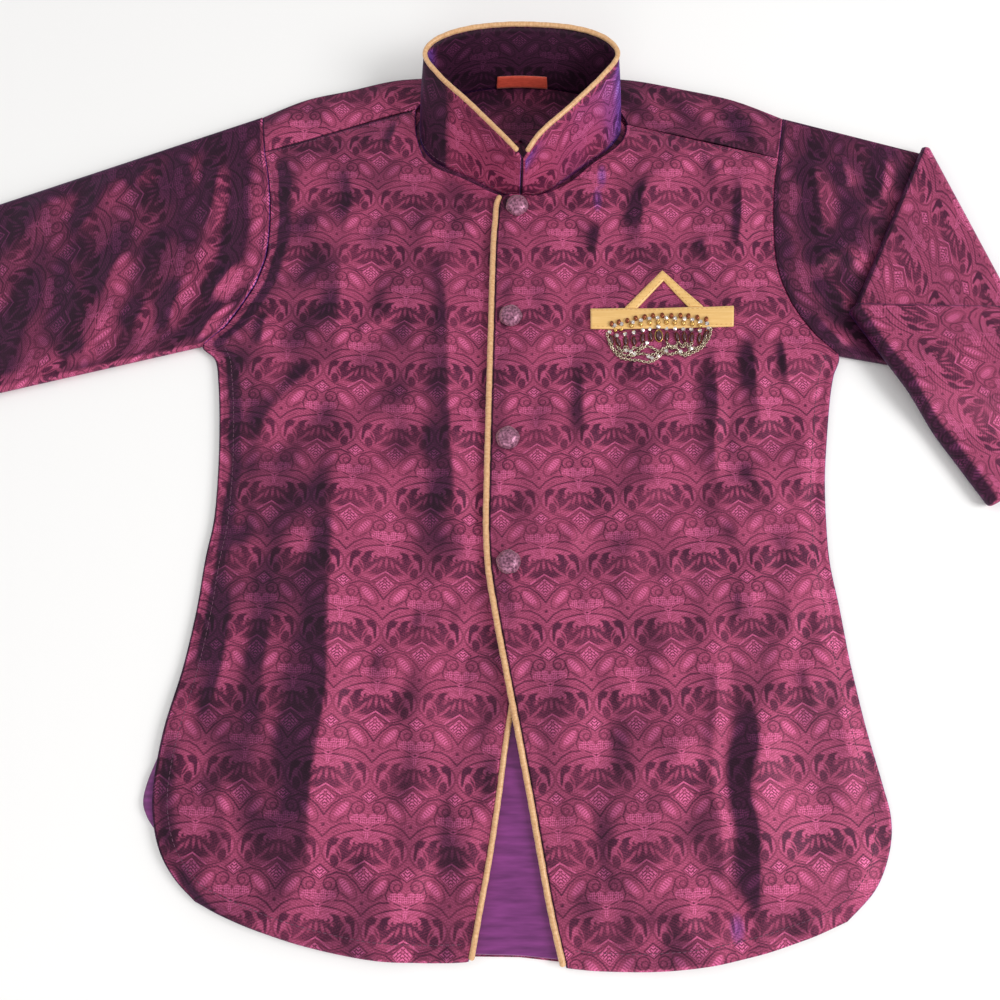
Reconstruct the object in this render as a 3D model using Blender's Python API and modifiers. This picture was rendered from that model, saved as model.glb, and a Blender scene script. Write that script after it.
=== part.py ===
"""Child's sherwani coat, laid flat: brocade, with a standing band collar, piped front edges and set-in sleeves.

Metres, +Z up. The coat lies on its back on z = 0, hem towards -Y and collar towards +Y. The origin is on
the underside of the back panel, on the centre line, at waist height. "right" and "left" are the wearer's own
sides, so the right front is on the -X side. Every table below is in millimetres, in that same frame.
"""

import math

import bmesh
import bpy
from mathutils import Vector
from mathutils.bvhtree import BVHTree

MM = 0.001

# ---- cloth and layer sizes, mm
GAP = 0.3
BACK_WALL = 1.4
LINING_WALL = 1.0
FRONT_WALL = 1.5
SLEEVE_WALL = 1.2
COLLAR_WALL = 2.0
TRIM_WALL = 1.2

LINING_FLOOR = BACK_WALL + GAP
FRONT_FLOOR = LINING_FLOOR + LINING_WALL + 0.5
RIGHT_PIPING = 3.0
LEFT_PIPING = 3.3
OVERLAP_FLOOR = FRONT_FLOOR + RIGHT_PIPING + GAP
BODY_FLOOR = FRONT_FLOOR + 0.8
COLLAR_FLOOR = FRONT_FLOOR

# ---- the fronts, one row for each cross line from the yoke seam down to the hem
FRONT_COLUMNS = 21
FRONT_RIGHT_ROWS = [
    # side_x, side_y, edge_x, edge_y, bow
    (-155.5, 191.5, -64.3, 221.0, 0),
    (-152.5, 176.0, -63.2, 203.0, 0),
    (-150.5, 160.0, -55.6, 184.2, 0),
    (-149.6, 144.0, -32.6, 172.4, 0),
    (-149.8, 131.0, -12.4, 162.2, 0),
    (-150.8, 120.0, 5.5, 159.6, 0),
    (-155.6, 104.0, 5.5, 140.0, 0),
    (-163.2, 89.7, 5.4, 118.0, 0),
    (-171.7, 76.7, 5.3, 96.0, 0),
    (-184.0, 65.0, 5.2, 77.0, 0),
    (-176.0, 56.0, 5.0, 60.0, 0),
    (-173.2, 42.0, 5.0, 41.0, 0),
    (-171.0, 20.0, 4.8, 18.0, 0),
    (-169.6, -8.0, 4.5, -9.0, 0),
    (-169.8, -38.0, 4.0, -38.0, 0),
    (-173.0, -61.0, 3.0, -64.0, 0),
    (-175.8, -90.0, 1.0, -92.0, 0),
    (-181.0, -122.0, -4.0, -124.0, 0),
    (-188.0, -152.0, -9.5, -155.0, 0),
    (-191.0, -180.0, -13.5, -184.0, 1),
    (-189.5, -198.0, -16.8, -206.0, 4),
    (-184.5, -213.5, -20.3, -226.0, 7),
    (-176.0, -226.0, -24.0, -245.0, 9),
    (-165.2, -236.2, -27.5, -264.2, 9.5),
]
FRONT_LEFT_ROWS = [
    # side_x, side_y, edge_x, edge_y, bow
    (158.3, 187.0, 66.8, 210.5, 0),
    (155.6, 173.0, 65.0, 201.0, 0),
    (153.9, 159.0, 58.8, 192.2, 0),
    (152.8, 145.0, 44.2, 181.0, 0),
    (152.3, 130.0, 28.9, 167.6, 0),
    (152.8, 117.0, 11.0, 159.9, 0),
    (155.0, 105.0, -9.3, 159.6, 0),
    (159.5, 92.0, -12.6, 143.0, 0),
    (165.5, 81.0, -13.9, 122.0, 0),
    (172.5, 71.0, -14.5, 99.0, 0),
    (184.4, 59.0, -15.0, 77.0, 0),
    (180.4, 46.0, -15.5, 57.0, 0),
    (177.2, 32.0, -16.0, 36.0, 0),
    (173.4, 8.0, -16.6, 10.0, 0),
    (170.3, -16.0, -17.2, -18.0, 0),
    (169.0, -42.0, -17.5, -45.0, 0),
    (169.2, -64.0, -16.2, -67.0, 0),
    (172.3, -88.0, -12.2, -92.0, 0),
    (175.6, -118.0, -6.7, -121.0, 0),
    (180.2, -149.0, -0.7, -152.0, 0),
    (186.2, -178.0, 5.0, -182.0, 1),
    (189.4, -197.0, 9.3, -206.0, 4),
    (186.6, -214.0, 13.2, -228.0, 7),
    (178.0, -231.0, 17.2, -248.0, 9),
    (162.7, -245.6, 21.8, -267.0, 9.5),
]

# ---- the largest creases: a ridge runs from its head to its tail, its two slopes have their own widths
CREASES_RIGHT = [
    # head_x, head_y, tail_x, tail_y, slope_left, slope_right, height
    (-98.0, 30.0, -104.0, -140.0, 24, 42, 5.0),
    (-104.0, -100.0, -110.0, -275.0, 22, 40, 4.5),
    (-33.0, 40.0, -21.0, -112.0, 18, 11, 3.0),
    (-152.0, -8.0, -84.0, 78.0, 13, 15, 3.2),
    (-79.0, 214.0, -50.0, 178.0, 11, 10, 3.0),
    (-72.0, 125.0, -56.0, -14.0, 16, 12, 3.0),
    (-62.0, -185.0, -66.0, -275.0, 16, 15, 2.8),
    (-146.0, -90.0, -152.0, -225.0, 18, 20, 2.0),
    (-124.0, 188.0, -104.0, 92.0, 17, 20, 2.4),
    (-40.0, 155.0, -30.0, 60.0, 14, 13, 2.0),
]
CREASES_LEFT = [
    # head_x, head_y, tail_x, tail_y, slope_left, slope_right, height
    (46.0, 58.0, 47.0, -62.0, 13, 18, 2.2),
    (109.0, 56.0, 108.0, -14.0, 12, 12, 3.4),
    (104.0, 14.0, 152.0, -44.0, 13, 14, 3.0),
    (129.0, -95.0, 130.0, -275.0, 14, 34, 5.0),
    (102.0, -70.0, 98.0, -205.0, 24, 12, 3.2),
    (42.0, -178.0, 46.0, -275.0, 15, 18, 3.0),
    (88.0, 204.0, 73.0, 108.0, 13, 16, 3.2),
    (136.0, 184.0, 132.0, 92.0, 12, 13, 2.4),
    (168.0, 34.0, 126.0, 76.0, 12, 13, 2.6),
    (38.0, -52.0, 98.0, -54.0, 14, 14, 1.8),
    (46.0, -140.0, 92.0, -146.0, 14, 15, 1.8),
    (112.0, 182.0, 104.0, 128.0, 13, 13, 1.6),
]
CREASE_FADE = 0.22

# ---- where the fronts stay flat and how far they take to rise
PLACKET_FLAT = 26.5
PLACKET_FADE = 20.0
PLACKET_CREASE_FADE = 16.0
HIDDEN_EDGE_FLAT = 24.0
HIDDEN_EDGE_FADE = 12.0
HIDDEN_EDGE_TOP = 150.0
COLLAR_SEAM_FADE = 8.0
SIDE_RISE = 14.0
EDGE_FADE = 24.0
FLAT_TOP_FADE = 16.0
OVERLAP_LOW = -190.0
OVERLAP_CLIMB = 40.0

# ---- yokes, one row for each cross line from the armhole to the neck
YOKE_RIGHT_ROWS = [
    # seam_x, seam_y, middle_x, middle_y, fold_x, fold_y, back_x, back_y
    (-155.4, 192.3, -156.5, 204.0, -158.2, 216.8, -155.5, 197.0),
    (-134.0, 199.4, -133.2, 214.0, -132.0, 229.0, -131.5, 204.5),
    (-107.0, 208.5, -106.2, 222.0, -105.0, 235.8, -105.0, 211.6),
    (-82.0, 217.2, -79.5, 230.0, -75.0, 243.3, -73.0, 220.2),
    (-64.0, 222.0, -56.8, 229.5, -40.3, 245.0, -40.3, 226.5),
]
YOKE_LEFT_ROWS = [
    # seam_x, seam_y, middle_x, middle_y, fold_x, fold_y, back_x, back_y
    (158.3, 187.8, 160.5, 202.0, 163.2, 215.8, 159.0, 196.0),
    (134.0, 194.8, 134.2, 211.5, 133.6, 228.8, 133.0, 204.0),
    (110.0, 201.0, 106.5, 218.5, 101.0, 237.0, 101.0, 212.5),
    (86.0, 206.6, 80.5, 223.5, 71.0, 243.2, 71.0, 220.2),
    (67.2, 211.4, 59.6, 227.0, 42.3, 245.0, 42.3, 226.5),
]

# ---- band collar, one row for each post round the neck, from the right end to the left end
COLLAR_ROWS = [
    # base_x, base_y, top_x, top_y, top_z
    (0.2, 161.4, 0.2, 167.0, 33.5),
    (-11.8, 164.2, -6.5, 174.0, 36.6),
    (-31.4, 175.2, -28.5, 197.0, 38.8),
    (-52.8, 186.8, -47.5, 217.0, 38.6),
    (-60.8, 202.4, -56.5, 232.0, 38.4),
    (-56.8, 221.6, -49.0, 244.0, 38.0),
    (-36.5, 235.0, -28.0, 252.0, 37.8),
    (1.0, 240.0, 1.0, 254.5, 37.8),
    (38.5, 235.0, 31.5, 252.0, 37.8),
    (57.0, 222.4, 51.0, 244.5, 38.0),
    (63.2, 208.4, 58.5, 232.0, 38.4),
    (56.0, 195.4, 49.0, 217.0, 38.6),
    (41.8, 184.0, 30.5, 197.0, 38.8),
    (17.2, 164.8, 12.5, 180.0, 37.2),
    (1.9, 161.4, 2.9, 167.0, 33.5),
]
COLLAR_STEPS = 3
COLLAR_PIPING = 4.0
COLLAR_MEET = 1.0
COLLAR_APART = 0.4
COLLAR_LEVELS = (0.0, 0.33, 0.66, 1.0)
FRONT_OF_NECK = 190.0

# ---- sleeves
ARMHOLE_GAP = 0.45
CUFF_RIGHT = ((-485.0, 90.0), (-456.0, -3.0))
SLEEVE_THICK = 5.0
SLEEVE_SIDES = 10
SLEEVE_RIGHT_SPANS = 11
SLEEVE_TOP_WIDE = 152.0
SLEEVE_PUFF = 2.4
CREASES_SLEEVE = [
    # head_x, head_y, tail_x, tail_y, slope_left, slope_right, height
    (-196.0, 118.0, -188.0, 66.0, 13, 14, 2.2),
    (-176.0, 190.0, -300.0, 118.0, 16, 20, 2.2),
    (-230.0, 92.0, -350.0, 66.0, 18, 20, 2.0),
    (-330.0, 122.0, -440.0, 70.0, 18, 18, 1.8),
]

# ---- the left sleeve is folded twice: armhole to fold one, back to fold two, out again to the cuff.
# Past the cloth below it a layer stays up for ROLL_CLEAR or EDGE_CLEAR, then settles over SETTLE.
LAYER_PITCH = SLEEVE_THICK + 1.0
FOLD_ONE = ((245.0, 191.5), (302.0, 36.0))
FOLD_TWO = ((194.4, 86.0), (265.0, -29.5))
CUFF_LEFT = ((350.0, 83.0), (346.0, -14.0))
UNDERARM_LEFT = (184.8, 59.0)
UPPER_LOW_EDGE = (FOLD_ONE[1], UNDERARM_LEFT)
MIDDLE_LOW_EDGE = (FOLD_TWO[1], FOLD_ONE[1])
FOLD_STEPS = 4
UPPER_SPANS = 6
MIDDLE_SPANS = 5
LOWER_SPANS = 7
SETTLE = 28.0
ROLL_CLEAR = 14.0
EDGE_CLEAR = 10.0

# ---- back panel, facings and label
BACK_HEM_RISE = 1.6
BACK_CENTRE_HEM = -262.9
BACK_NECK_Y = 243.0
BACK_NECK_DIP = 2.2
SLIT_TOP = -137.0
SLIT_EASE = 40.0
LINING_TOP = -118.0
LINING_HEM_RISE = 1.5
LINING_LEFT_INSET = 4.0
LINING_BULGE = [
    # x, y
    (-184.0, -150.0),
    (-192.0, -170.0),
    (-196.3, -186.0),
    (-193.5, -196.0),
    (-186.0, -206.0),
]
FACING_CENTRE = (1.0, 199.5)
FACING_RADII = (67.0, 41.5)
FACING_STEPS = 40
LABEL_LEFT = -15.0
LABEL_RIGHT = 19.0
LABEL_SHARES = (0.03, 0.22)
LABEL_THICK = 1.0

# ---- buttons, pocket welt, point strip and jewel
BUTTON_WIDE = 13.2
BUTTON_HIGH = 5.4
BUTTON_YS = (152.0, 81.0, 6.8, -63.7)
BUTTON_INSET = 9.5
BUTTON_STEPS = 18
BUTTON_PROFILE = [
    # share of the radius, share of the height
    (0.0, 1.0),
    (0.5, 0.93),
    (0.85, 0.68),
    (1.0, 0.32),
    (0.9, 0.08),
    (0.7, 0.0),
    (0.0, 0.0),
]
WELT_TOP = ((41.4, 86.0), (124.3, 87.3))
WELT_LOW = ((41.2, 73.4), (123.8, 75.3))
WELT_WALL = 1.6
POINT_OUTER = ((61.4, 86.9), (84.0, 110.4), (106.8, 87.6))
POINT_INNER = ((68.5, 87.0), (84.6, 104.3), (98.5, 87.5))
JEWEL_ENDS = ((49.8, 75.6), (111.0, 78.0))
JEWEL_ARCH = 5.5
JEWEL_BOWL = 24.0
JEWEL_END_HALF = 0.9
JEWEL_THICK = 2.0
JEWEL_COLUMNS = 14

# ---- colours (sRGB), roughness and metallic value of each cloth
CLOTHS = {
    "brocade": ("9c3a6b", 0.42, 0.25),
    "lining": ("6b2a85", 0.38, 0.0),
    "piping": ("d8ab72", 0.45, 0.0),
    "pocket_silk": ("dfb36a", 0.42, 0.0),
    "label": ("d4472a", 0.55, 0.0),
    "button_cloth": ("a8688a", 0.4, 0.3),
    "jewel_metal": ("b99a6a", 0.3, 0.9),
}


def clear_scene():
    for old in list(bpy.data.objects):
        bpy.data.objects.remove(old)


def linear(channel):
    return channel / 12.92 if channel <= 0.04045 else ((channel + 0.055) / 1.055) ** 2.4


def material(node_name, cloth):
    """A Principled material of its own for one piece."""
    colour, roughness, metallic = CLOTHS[cloth]
    made = bpy.data.materials.new(node_name)
    made.use_nodes = True
    shader = made.node_tree.nodes["Principled BSDF"]
    rgb = [linear(int(colour[at:at + 2], 16) / 255) for at in (0, 2, 4)]
    shader.inputs["Base Color"].default_value = (*rgb, 1)
    shader.inputs["Roughness"].default_value = roughness
    shader.inputs["Metallic"].default_value = metallic
    return made


def mix(a, b, t):
    return a + (b - a) * t


def mix_point(a, b, t):
    return tuple(mix(p, q, t) for p, q in zip(a, b))


def smooth(t):
    t = min(1.0, max(0.0, t))
    return t * t * (3 - 2 * t)


def catmull_rom(a, b, c, d, t):
    """Value between b and c of a smooth curve through four values."""
    bend = 2 * a - 5 * b + 4 * c - d
    twist = 3 * b - a - 3 * c + d
    return 0.5 * (2 * b + (c - a) * t + bend * t * t + twist * t ** 3)


def through(rows, steps):
    """Rows of a smooth curve through the given rows, with steps rows to each span."""
    count = len(rows)
    made = []
    for span in range(count - 1):
        four = [rows[min(count - 1, max(0, span + k))] for k in (-1, 0, 1, 2)]
        for step in range(steps):
            t = step / steps
            made.append(tuple(catmull_rom(*values, t) for values in zip(*four)))
    made.append(tuple(rows[-1]))
    return made


def along(points, t):
    """The point at a share t of the length of an open polyline."""
    lengths = [math.dist(a, b) for a, b in zip(points, points[1:])]
    left = t * sum(lengths)
    for (a, b), length in zip(zip(points, points[1:]), lengths):
        if left <= length:
            return mix_point(a, b, left / length)
        left -= length
    return points[-1]


def armhole_line(yoke_rows, front_rows, outward):
    """Armhole seam on the sleeve's side of the gap, from the shoulder fold to the underarm point."""
    body = [yoke_rows[0][4:6]]
    for row in front_rows:
        body.append(row[:2])
        if outward * row[0] > 180:
            break
    return [(x + outward * ARMHOLE_GAP, y - ARMHOLE_GAP * 0.2) for x, y in body]


def crease_height(x, y, creases):
    """Sum of the ridges at a point: cosine slopes across each, faded at its head and tail."""
    total = 0.0
    for head_x, head_y, tail_x, tail_y, slope_left, slope_right, height in creases:
        run = Vector((tail_x - head_x, tail_y - head_y))
        offset = Vector((x - head_x, y - head_y))
        share = offset.dot(run) / run.length_squared
        if not 0 < share < 1:
            continue
        aside = run.cross(offset) / run.length
        slope = slope_right if aside > 0 else slope_left
        if abs(aside) >= slope:
            continue
        fade = smooth(share / CREASE_FADE) * smooth((1 - share) / CREASE_FADE)
        total += height * fade * 0.5 * (1 + math.cos(math.pi * aside / slope))
    return total


def add_object(name, points, faces, cloth, collection):
    """A closed mesh from points in mm. Its faces are turned outwards by the sign of its volume."""
    mesh = bpy.data.meshes.new(name)
    mesh.from_pydata([Vector(point) * MM for point in points], [], faces)
    work = bmesh.new()
    work.from_mesh(mesh)
    if work.calc_volume(signed=True) < 0:
        bmesh.ops.reverse_faces(work, faces=work.faces)
    work.to_mesh(mesh)
    work.free()
    mesh.shade_smooth()
    mesh.set_sharp_from_angle(angle=math.radians(50))
    made = bpy.data.objects.new(name, mesh)
    made.data.materials.append(material(name, cloth))
    collection.objects.link(made)
    return made


def wall_from_grids(name, outer, inner, cloth, collection, ring=False):
    """A cloth wall between two grids of points. With ring, each row closes on itself and the ends stay open."""
    rows = len(outer)
    columns = len(outer[0])
    points = [point for grid in (outer, inner) for row in grid for point in row]
    inside = rows * columns

    def at(row, column):
        return row * columns + column % columns

    faces = []
    across = columns if ring else columns - 1
    for row in range(rows - 1):
        for column in range(across):
            quad = (at(row, column), at(row, column + 1), at(row + 1, column + 1), at(row + 1, column))
            faces.append(quad)
            faces.append(tuple(inside + corner for corner in reversed(quad)))
    for row, turned in ((0, True), (rows - 1, False)):
        for column in range(across):
            a, b = at(row, column), at(row, column + 1)
            quad = (a, inside + a, inside + b, b)
            faces.append(quad if turned else tuple(reversed(quad)))
    if not ring:
        for column, turned in ((0, False), (columns - 1, True)):
            for row in range(rows - 1):
                a, b = at(row, column), at(row + 1, column)
                quad = (a, inside + a, inside + b, b)
                faces.append(quad if turned else tuple(reversed(quad)))
    return add_object(name, points, faces, cloth, collection)


def flat_piece(name, outline, low, thick, cloth, collection):
    """A flat piece cut to a closed outline, from height low up by its thickness."""
    curve = bpy.data.curves.new(name, "CURVE")
    curve.dimensions = "2D"
    curve.fill_mode = "BOTH"
    curve.extrude = thick / 2 * MM
    line = curve.splines.new("POLY")
    line.points.add(len(outline) - 1)
    for point, (x, y) in zip(line.points, outline):
        point.co = (x * MM, y * MM, 0, 1)
    line.use_cyclic_u = True
    made = bpy.data.objects.new(name, curve)
    made.location.z = (low + thick / 2) * MM
    curve.materials.append(material(name, cloth))
    collection.objects.link(made)
    return made


def cord_piece(name, route, wide, cloth, collection):
    """A covered cord of round section along a route."""
    curve = bpy.data.curves.new(name, "CURVE")
    curve.dimensions = "3D"
    curve.bevel_depth = wide / 2 * MM
    curve.bevel_resolution = 2
    curve.use_fill_caps = True
    line = curve.splines.new("POLY")
    line.points.add(len(route) - 1)
    for point, place in zip(line.points, route):
        point.co = (*(Vector(place) * MM), 1)
    made = bpy.data.objects.new(name, curve)
    curve.materials.append(material(name, cloth))
    collection.objects.link(made)
    return made


def front_point(row, share):
    """Plan point of a front: share 0 is at the side, 1 at the front edge."""
    side_x, side_y, edge_x, edge_y, bow = row
    return (
        mix(side_x, edge_x, share),
        mix(side_y, edge_y, share) - bow * 4 * share * (1 - share),
    )


def edge_floor(y, overlaps):
    """Underside height of a front along its front edge. The left one climbs over the right one's piping."""
    if not overlaps:
        return FRONT_FLOOR
    return mix(FRONT_FLOOR, OVERLAP_FLOOR, smooth((y - OVERLAP_LOW) / OVERLAP_CLIMB))


def side_floor(y):
    """Underside height along the side: on the back panel at the side seam, on the lining below the slit."""
    return mix(FRONT_FLOOR, LINING_FLOOR, smooth((y - SLIT_TOP) / SLIT_EASE))


def front_floor(x, y, row, share, creases, overlaps):
    """Underside height of a front at a plan point."""
    side_x, _, edge_x, _, _ = row
    wide = abs(edge_x - side_x)
    from_edge = (1 - share) * wide
    from_side = share * wide
    placket = smooth((from_edge - PLACKET_FLAT) / PLACKET_FADE)
    height = mix(edge_floor(y, overlaps), BODY_FLOOR, placket)
    height = mix(side_floor(y), height, smooth(from_side / SIDE_RISE))
    if overlaps:
        fade = smooth((from_edge - PLACKET_FLAT) / PLACKET_CREASE_FADE)
    elif y < HIDDEN_EDGE_TOP:
        fade = smooth((from_edge - HIDDEN_EDGE_FLAT) / HIDDEN_EDGE_FADE)
    else:
        fade = smooth(from_edge / COLLAR_SEAM_FADE)
    fade *= smooth(from_side / EDGE_FADE)
    return height + fade * crease_height(x, y, creases)


def front_grids(rows, creases, overlaps):
    """Top and underside grids of a front panel."""
    top = []
    under = []
    for at, row in enumerate(rows):
        top_line = []
        under_line = []
        from_seam = math.dist(rows[0][:2], row[:2])
        seam_fade = smooth(from_seam / FLAT_TOP_FADE)
        for column in range(FRONT_COLUMNS):
            share = column / (FRONT_COLUMNS - 1)
            x, y = front_point(row, share)
            z = front_floor(x, y, row, share, creases, overlaps)
            z = mix(FRONT_FLOOR, z, seam_fade)
            under_line.append((x, y, z))
            top_line.append((x, y, z + FRONT_WALL))
        top.append(top_line)
        under.append(under_line)
    return top, under


def make_front(name, rows, creases, overlaps, collection):
    """A front panel and the grid of its top surface."""
    top, under = front_grids(rows, creases, overlaps)
    return wall_from_grids(name, top, under, "brocade", collection), top


def make_edge_piping(name, top, rows, wide, outward, first_row, collection):
    """Piping beside a front edge, its underside level with the panel's."""
    route = []
    for line, row in list(zip(top, rows))[first_row:]:
        x, y, z = line[-1]
        route.append((x + outward * (wide / 2 + GAP), y, z - FRONT_WALL + wide / 2))
    return cord_piece(name, through(route, 1), wide, "piping", collection)


def hem_points(rows, count):
    """Points along a front's hem, moved up to where the layer below it ends."""
    last = rows[-1]
    made = [front_point(last, step / count) for step in range(count + 1)]
    return [(x, y + BACK_HEM_RISE) for x, y in made]


def back_outline():
    """Closed outline of the back: right armhole, side and hem, then the left ones upwards, and the neck."""
    right_side = [(row[0] + 2 * GAP, row[1] - GAP) for row in FRONT_RIGHT_ROWS[1:-1]]
    left_side = [(row[0] - 2 * GAP, row[1] - GAP) for row in FRONT_LEFT_ROWS[1:-1]]
    right_yoke = [(row[6], row[7] - GAP) for row in YOKE_RIGHT_ROWS]
    left_yoke = [(row[6], row[7] - GAP) for row in YOKE_LEFT_ROWS]
    right_neck = YOKE_RIGHT_ROWS[-1][4] + GAP
    left_neck = YOKE_LEFT_ROWS[-1][4] - GAP
    neck = []
    for step in range(7):
        share = step / 6
        dip = BACK_NECK_DIP * 4 * share * (1 - share)
        neck.append((mix(right_neck, left_neck, share), BACK_NECK_Y - dip))
    outline = list(reversed(neck)) + list(reversed(right_yoke)) + right_side
    outline += hem_points(FRONT_RIGHT_ROWS, 8)
    outline += [(-1.5, BACK_CENTRE_HEM)]
    outline += list(reversed(hem_points(FRONT_LEFT_ROWS, 8)))
    outline += list(reversed(left_side)) + left_yoke
    return outline


def lining_outline():
    """Skirt lining of the back: it shows between the fronts at the hem and bulges out of the right slit."""
    low_right = [(x, y + LINING_HEM_RISE) for x, y in hem_points(FRONT_RIGHT_ROWS, 6)]
    low_left = [(x, y + LINING_HEM_RISE) for x, y in hem_points(FRONT_LEFT_ROWS, 6)]
    left_side = [(row[0] - LINING_LEFT_INSET, row[1]) for row in FRONT_LEFT_ROWS[-2:-7:-1]]
    outline = [(-176.0, LINING_TOP), *LINING_BULGE, (-175.0, -222.0)]
    outline += low_right + [(-1.5, BACK_CENTRE_HEM + 1.2)] + list(reversed(low_left))
    outline += left_side + [(170.0, LINING_TOP)]
    return outline


def facing_outline():
    """Oval facing inside the neck."""
    outline = []
    for step in range(FACING_STEPS):
        angle = 2 * math.pi * step / FACING_STEPS
        outline.append((
            FACING_CENTRE[0] + FACING_RADII[0] * math.cos(angle),
            FACING_CENTRE[1] + FACING_RADII[1] * math.sin(angle),
        ))
    return outline


def make_yoke(name, rows, collection):
    """A yoke strip folded over the shoulder: front seam, up over the fold, and back below."""
    turn = (FRONT_FLOOR + FRONT_WALL) / 2
    outer = []
    inner = []
    for seam_x, seam_y, middle_x, middle_y, fold_x, fold_y, back_x, back_y in rows:
        seam = Vector((seam_x, seam_y))
        middle = Vector((middle_x, middle_y))
        fold = Vector((fold_x, fold_y))
        back = Vector((back_x, back_y))
        inward = (back - fold).normalized()
        top_end = fold + (middle - fold).normalized() * turn
        low_end = fold + inward * turn
        out_line = []
        in_line = []
        for share in (0.0, 0.35, 0.7, 1.0):
            bend = seam * (1 - share) ** 2 + middle * 2 * share * (1 - share) + top_end * share ** 2
            rise = 1.4 * math.sin(math.pi * share)
            out_line.append((*bend, 2 * turn + rise))
            in_line.append((*bend, 2 * turn - FRONT_WALL + rise))
        for step in range(1, 6):
            angle = math.pi * step / 6
            centre = top_end.lerp(low_end, step / 6)
            outward = (fold - centre).normalized()
            for line, reach in ((out_line, turn), (in_line, turn - BACK_WALL)):
                flat = centre + outward * reach * math.sin(angle)
                line.append((*flat, turn + reach * math.cos(angle)))
        for share in (0.0, 0.5, 1.0):
            flat = low_end.lerp(back, share)
            out_line.append((*flat, 0.0))
            in_line.append((*flat, BACK_WALL))
        outer.append(out_line)
        inner.append(in_line)
    return wall_from_grids(name, outer, inner, "brocade", collection)


def collar_line(rows, depth, level):
    """Points round the collar at a share of its height, moved inwards by a depth."""
    line = []
    for at, (base_x, base_y, top_x, top_y, top_z) in enumerate(rows):
        before = rows[max(0, at - 1)]
        after = rows[min(len(rows) - 1, at + 1)]
        tangent = Vector((
            mix(after[0] - before[0], after[2] - before[2], level),
            mix(after[1] - before[1], after[3] - before[3], level),
        )).normalized()
        inward = Vector((tangent.y, -tangent.x))
        place = Vector((mix(base_x, top_x, level), mix(base_y, top_y, level))) + inward * depth
        if at < COLLAR_STEPS:
            place.x = min(place.x, COLLAR_MEET - COLLAR_APART)
        elif at >= len(rows) - COLLAR_STEPS:
            place.x = max(place.x, COLLAR_MEET + COLLAR_APART)
        line.append((place.x, place.y, mix(COLLAR_FLOOR, top_z, level)))
    return line


def make_collar(collection):
    """Standing band round the neck, and the piping on its rim."""
    rows = through(COLLAR_ROWS, COLLAR_STEPS)
    outer = [collar_line(rows, 0.0, level) for level in COLLAR_LEVELS]
    inner = [collar_line(rows, COLLAR_WALL, level) for level in COLLAR_LEVELS]
    made = wall_from_grids("collar", outer, inner, "brocade", collection)
    rim = [Vector(point) for point in collar_line(rows, COLLAR_WALL / 2, 1.0)]
    skin = [Vector(point) for point in collar_line(rows, 0.0, 1.0)]
    lift = COLLAR_PIPING / 2 + GAP
    route = []
    for at in range(1, len(rim) - 1):
        if rim[at].y < FRONT_OF_NECK and abs(rim[at].x - COLLAR_MEET) < COLLAR_PIPING * 0.8:
            continue
        up = (rim[at + 1] - rim[at - 1]).cross(skin[at] - rim[at]).normalized()
        if up.z < 0:
            up = -up
        route.append(rim[at] + up * lift)
    cord_piece("collar_piping", route, COLLAR_PIPING, "piping", collection)
    return made


def make_label(collection):
    """A plain tab caught in the back neck seam, lying against the inside of the collar."""
    rows = [row for row in through(COLLAR_ROWS, 8) if LABEL_LEFT <= row[0] <= LABEL_RIGHT and row[1] > 230]
    near = [collar_line(rows, COLLAR_WALL + GAP, level) for level in LABEL_SHARES]
    far = [collar_line(rows, COLLAR_WALL + GAP + LABEL_THICK, level) for level in LABEL_SHARES]
    return wall_from_grids("label", near, far, "label", collection)


def flat_ring(low, high, wide, lift_at):
    """Outer and inner points, as (share across, height), of a tube lying flat between two heights."""
    half = (high - low) / 2
    outer = []
    inner = []
    inset = half / wide
    reach = half - SLEEVE_WALL
    for step in range(SLEEVE_SIDES + 1):
        share = mix(inset, 1 - inset, step / SLEEVE_SIDES)
        lift = lift_at(share)
        outer.append((share, high + lift))
        inner.append((share, high - SLEEVE_WALL + lift))
    for side in (1, -1):
        centre = 1 - inset if side > 0 else inset
        for angle in (math.pi / 4, math.pi / 2, 3 * math.pi / 4):
            turn = angle if side > 0 else math.pi - angle
            across = math.sin(angle) * side
            outer.append((centre + across * half / wide, low + half + half * math.cos(turn)))
            inner.append((centre + across * reach / wide, low + half + reach * math.cos(turn)))
        if side > 0:
            for step in range(SLEEVE_SIDES + 1):
                share = mix(1 - inset, inset, step / SLEEVE_SIDES)
                outer.append((share, low))
                inner.append((share, low + SLEEVE_WALL))
    return outer, inner


def make_sleeve_right(collection):
    """Flat tube from the armhole to the cuff, on the table."""
    armhole = armhole_line(YOKE_RIGHT_ROWS, FRONT_RIGHT_ROWS, -1)
    outer = []
    inner = []
    for span in range(SLEEVE_RIGHT_SPANS + 1):
        share_out = span / SLEEVE_RIGHT_SPANS
        wide = mix(SLEEVE_TOP_WIDE, math.dist(*CUFF_RIGHT), share_out)
        puff = SLEEVE_PUFF * math.sin(math.pi * min(1.0, share_out * 1.15 + 0.02)) + 0.2

        def place(share):
            return mix_point(along(armhole, share), mix_point(*CUFF_RIGHT, share), share_out)

        def lift_at(share):
            body = puff * math.sin(math.pi * share) ** 0.7
            fade = smooth(share_out / 0.08) * smooth(share / 0.16) * smooth((1 - share) / 0.16)
            return body + fade * crease_height(*place(share), CREASES_SLEEVE)

        out_ring, in_ring = flat_ring(0.0, SLEEVE_THICK, wide, lift_at)
        outer.append([(*place(min(1, max(0, share))), z) for share, z in out_ring])
        inner.append([(*place(min(1, max(0, share))), z) for share, z in in_ring])
    return wall_from_grids("sleeve_right", outer, inner, "brocade", collection, ring=True)


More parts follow.
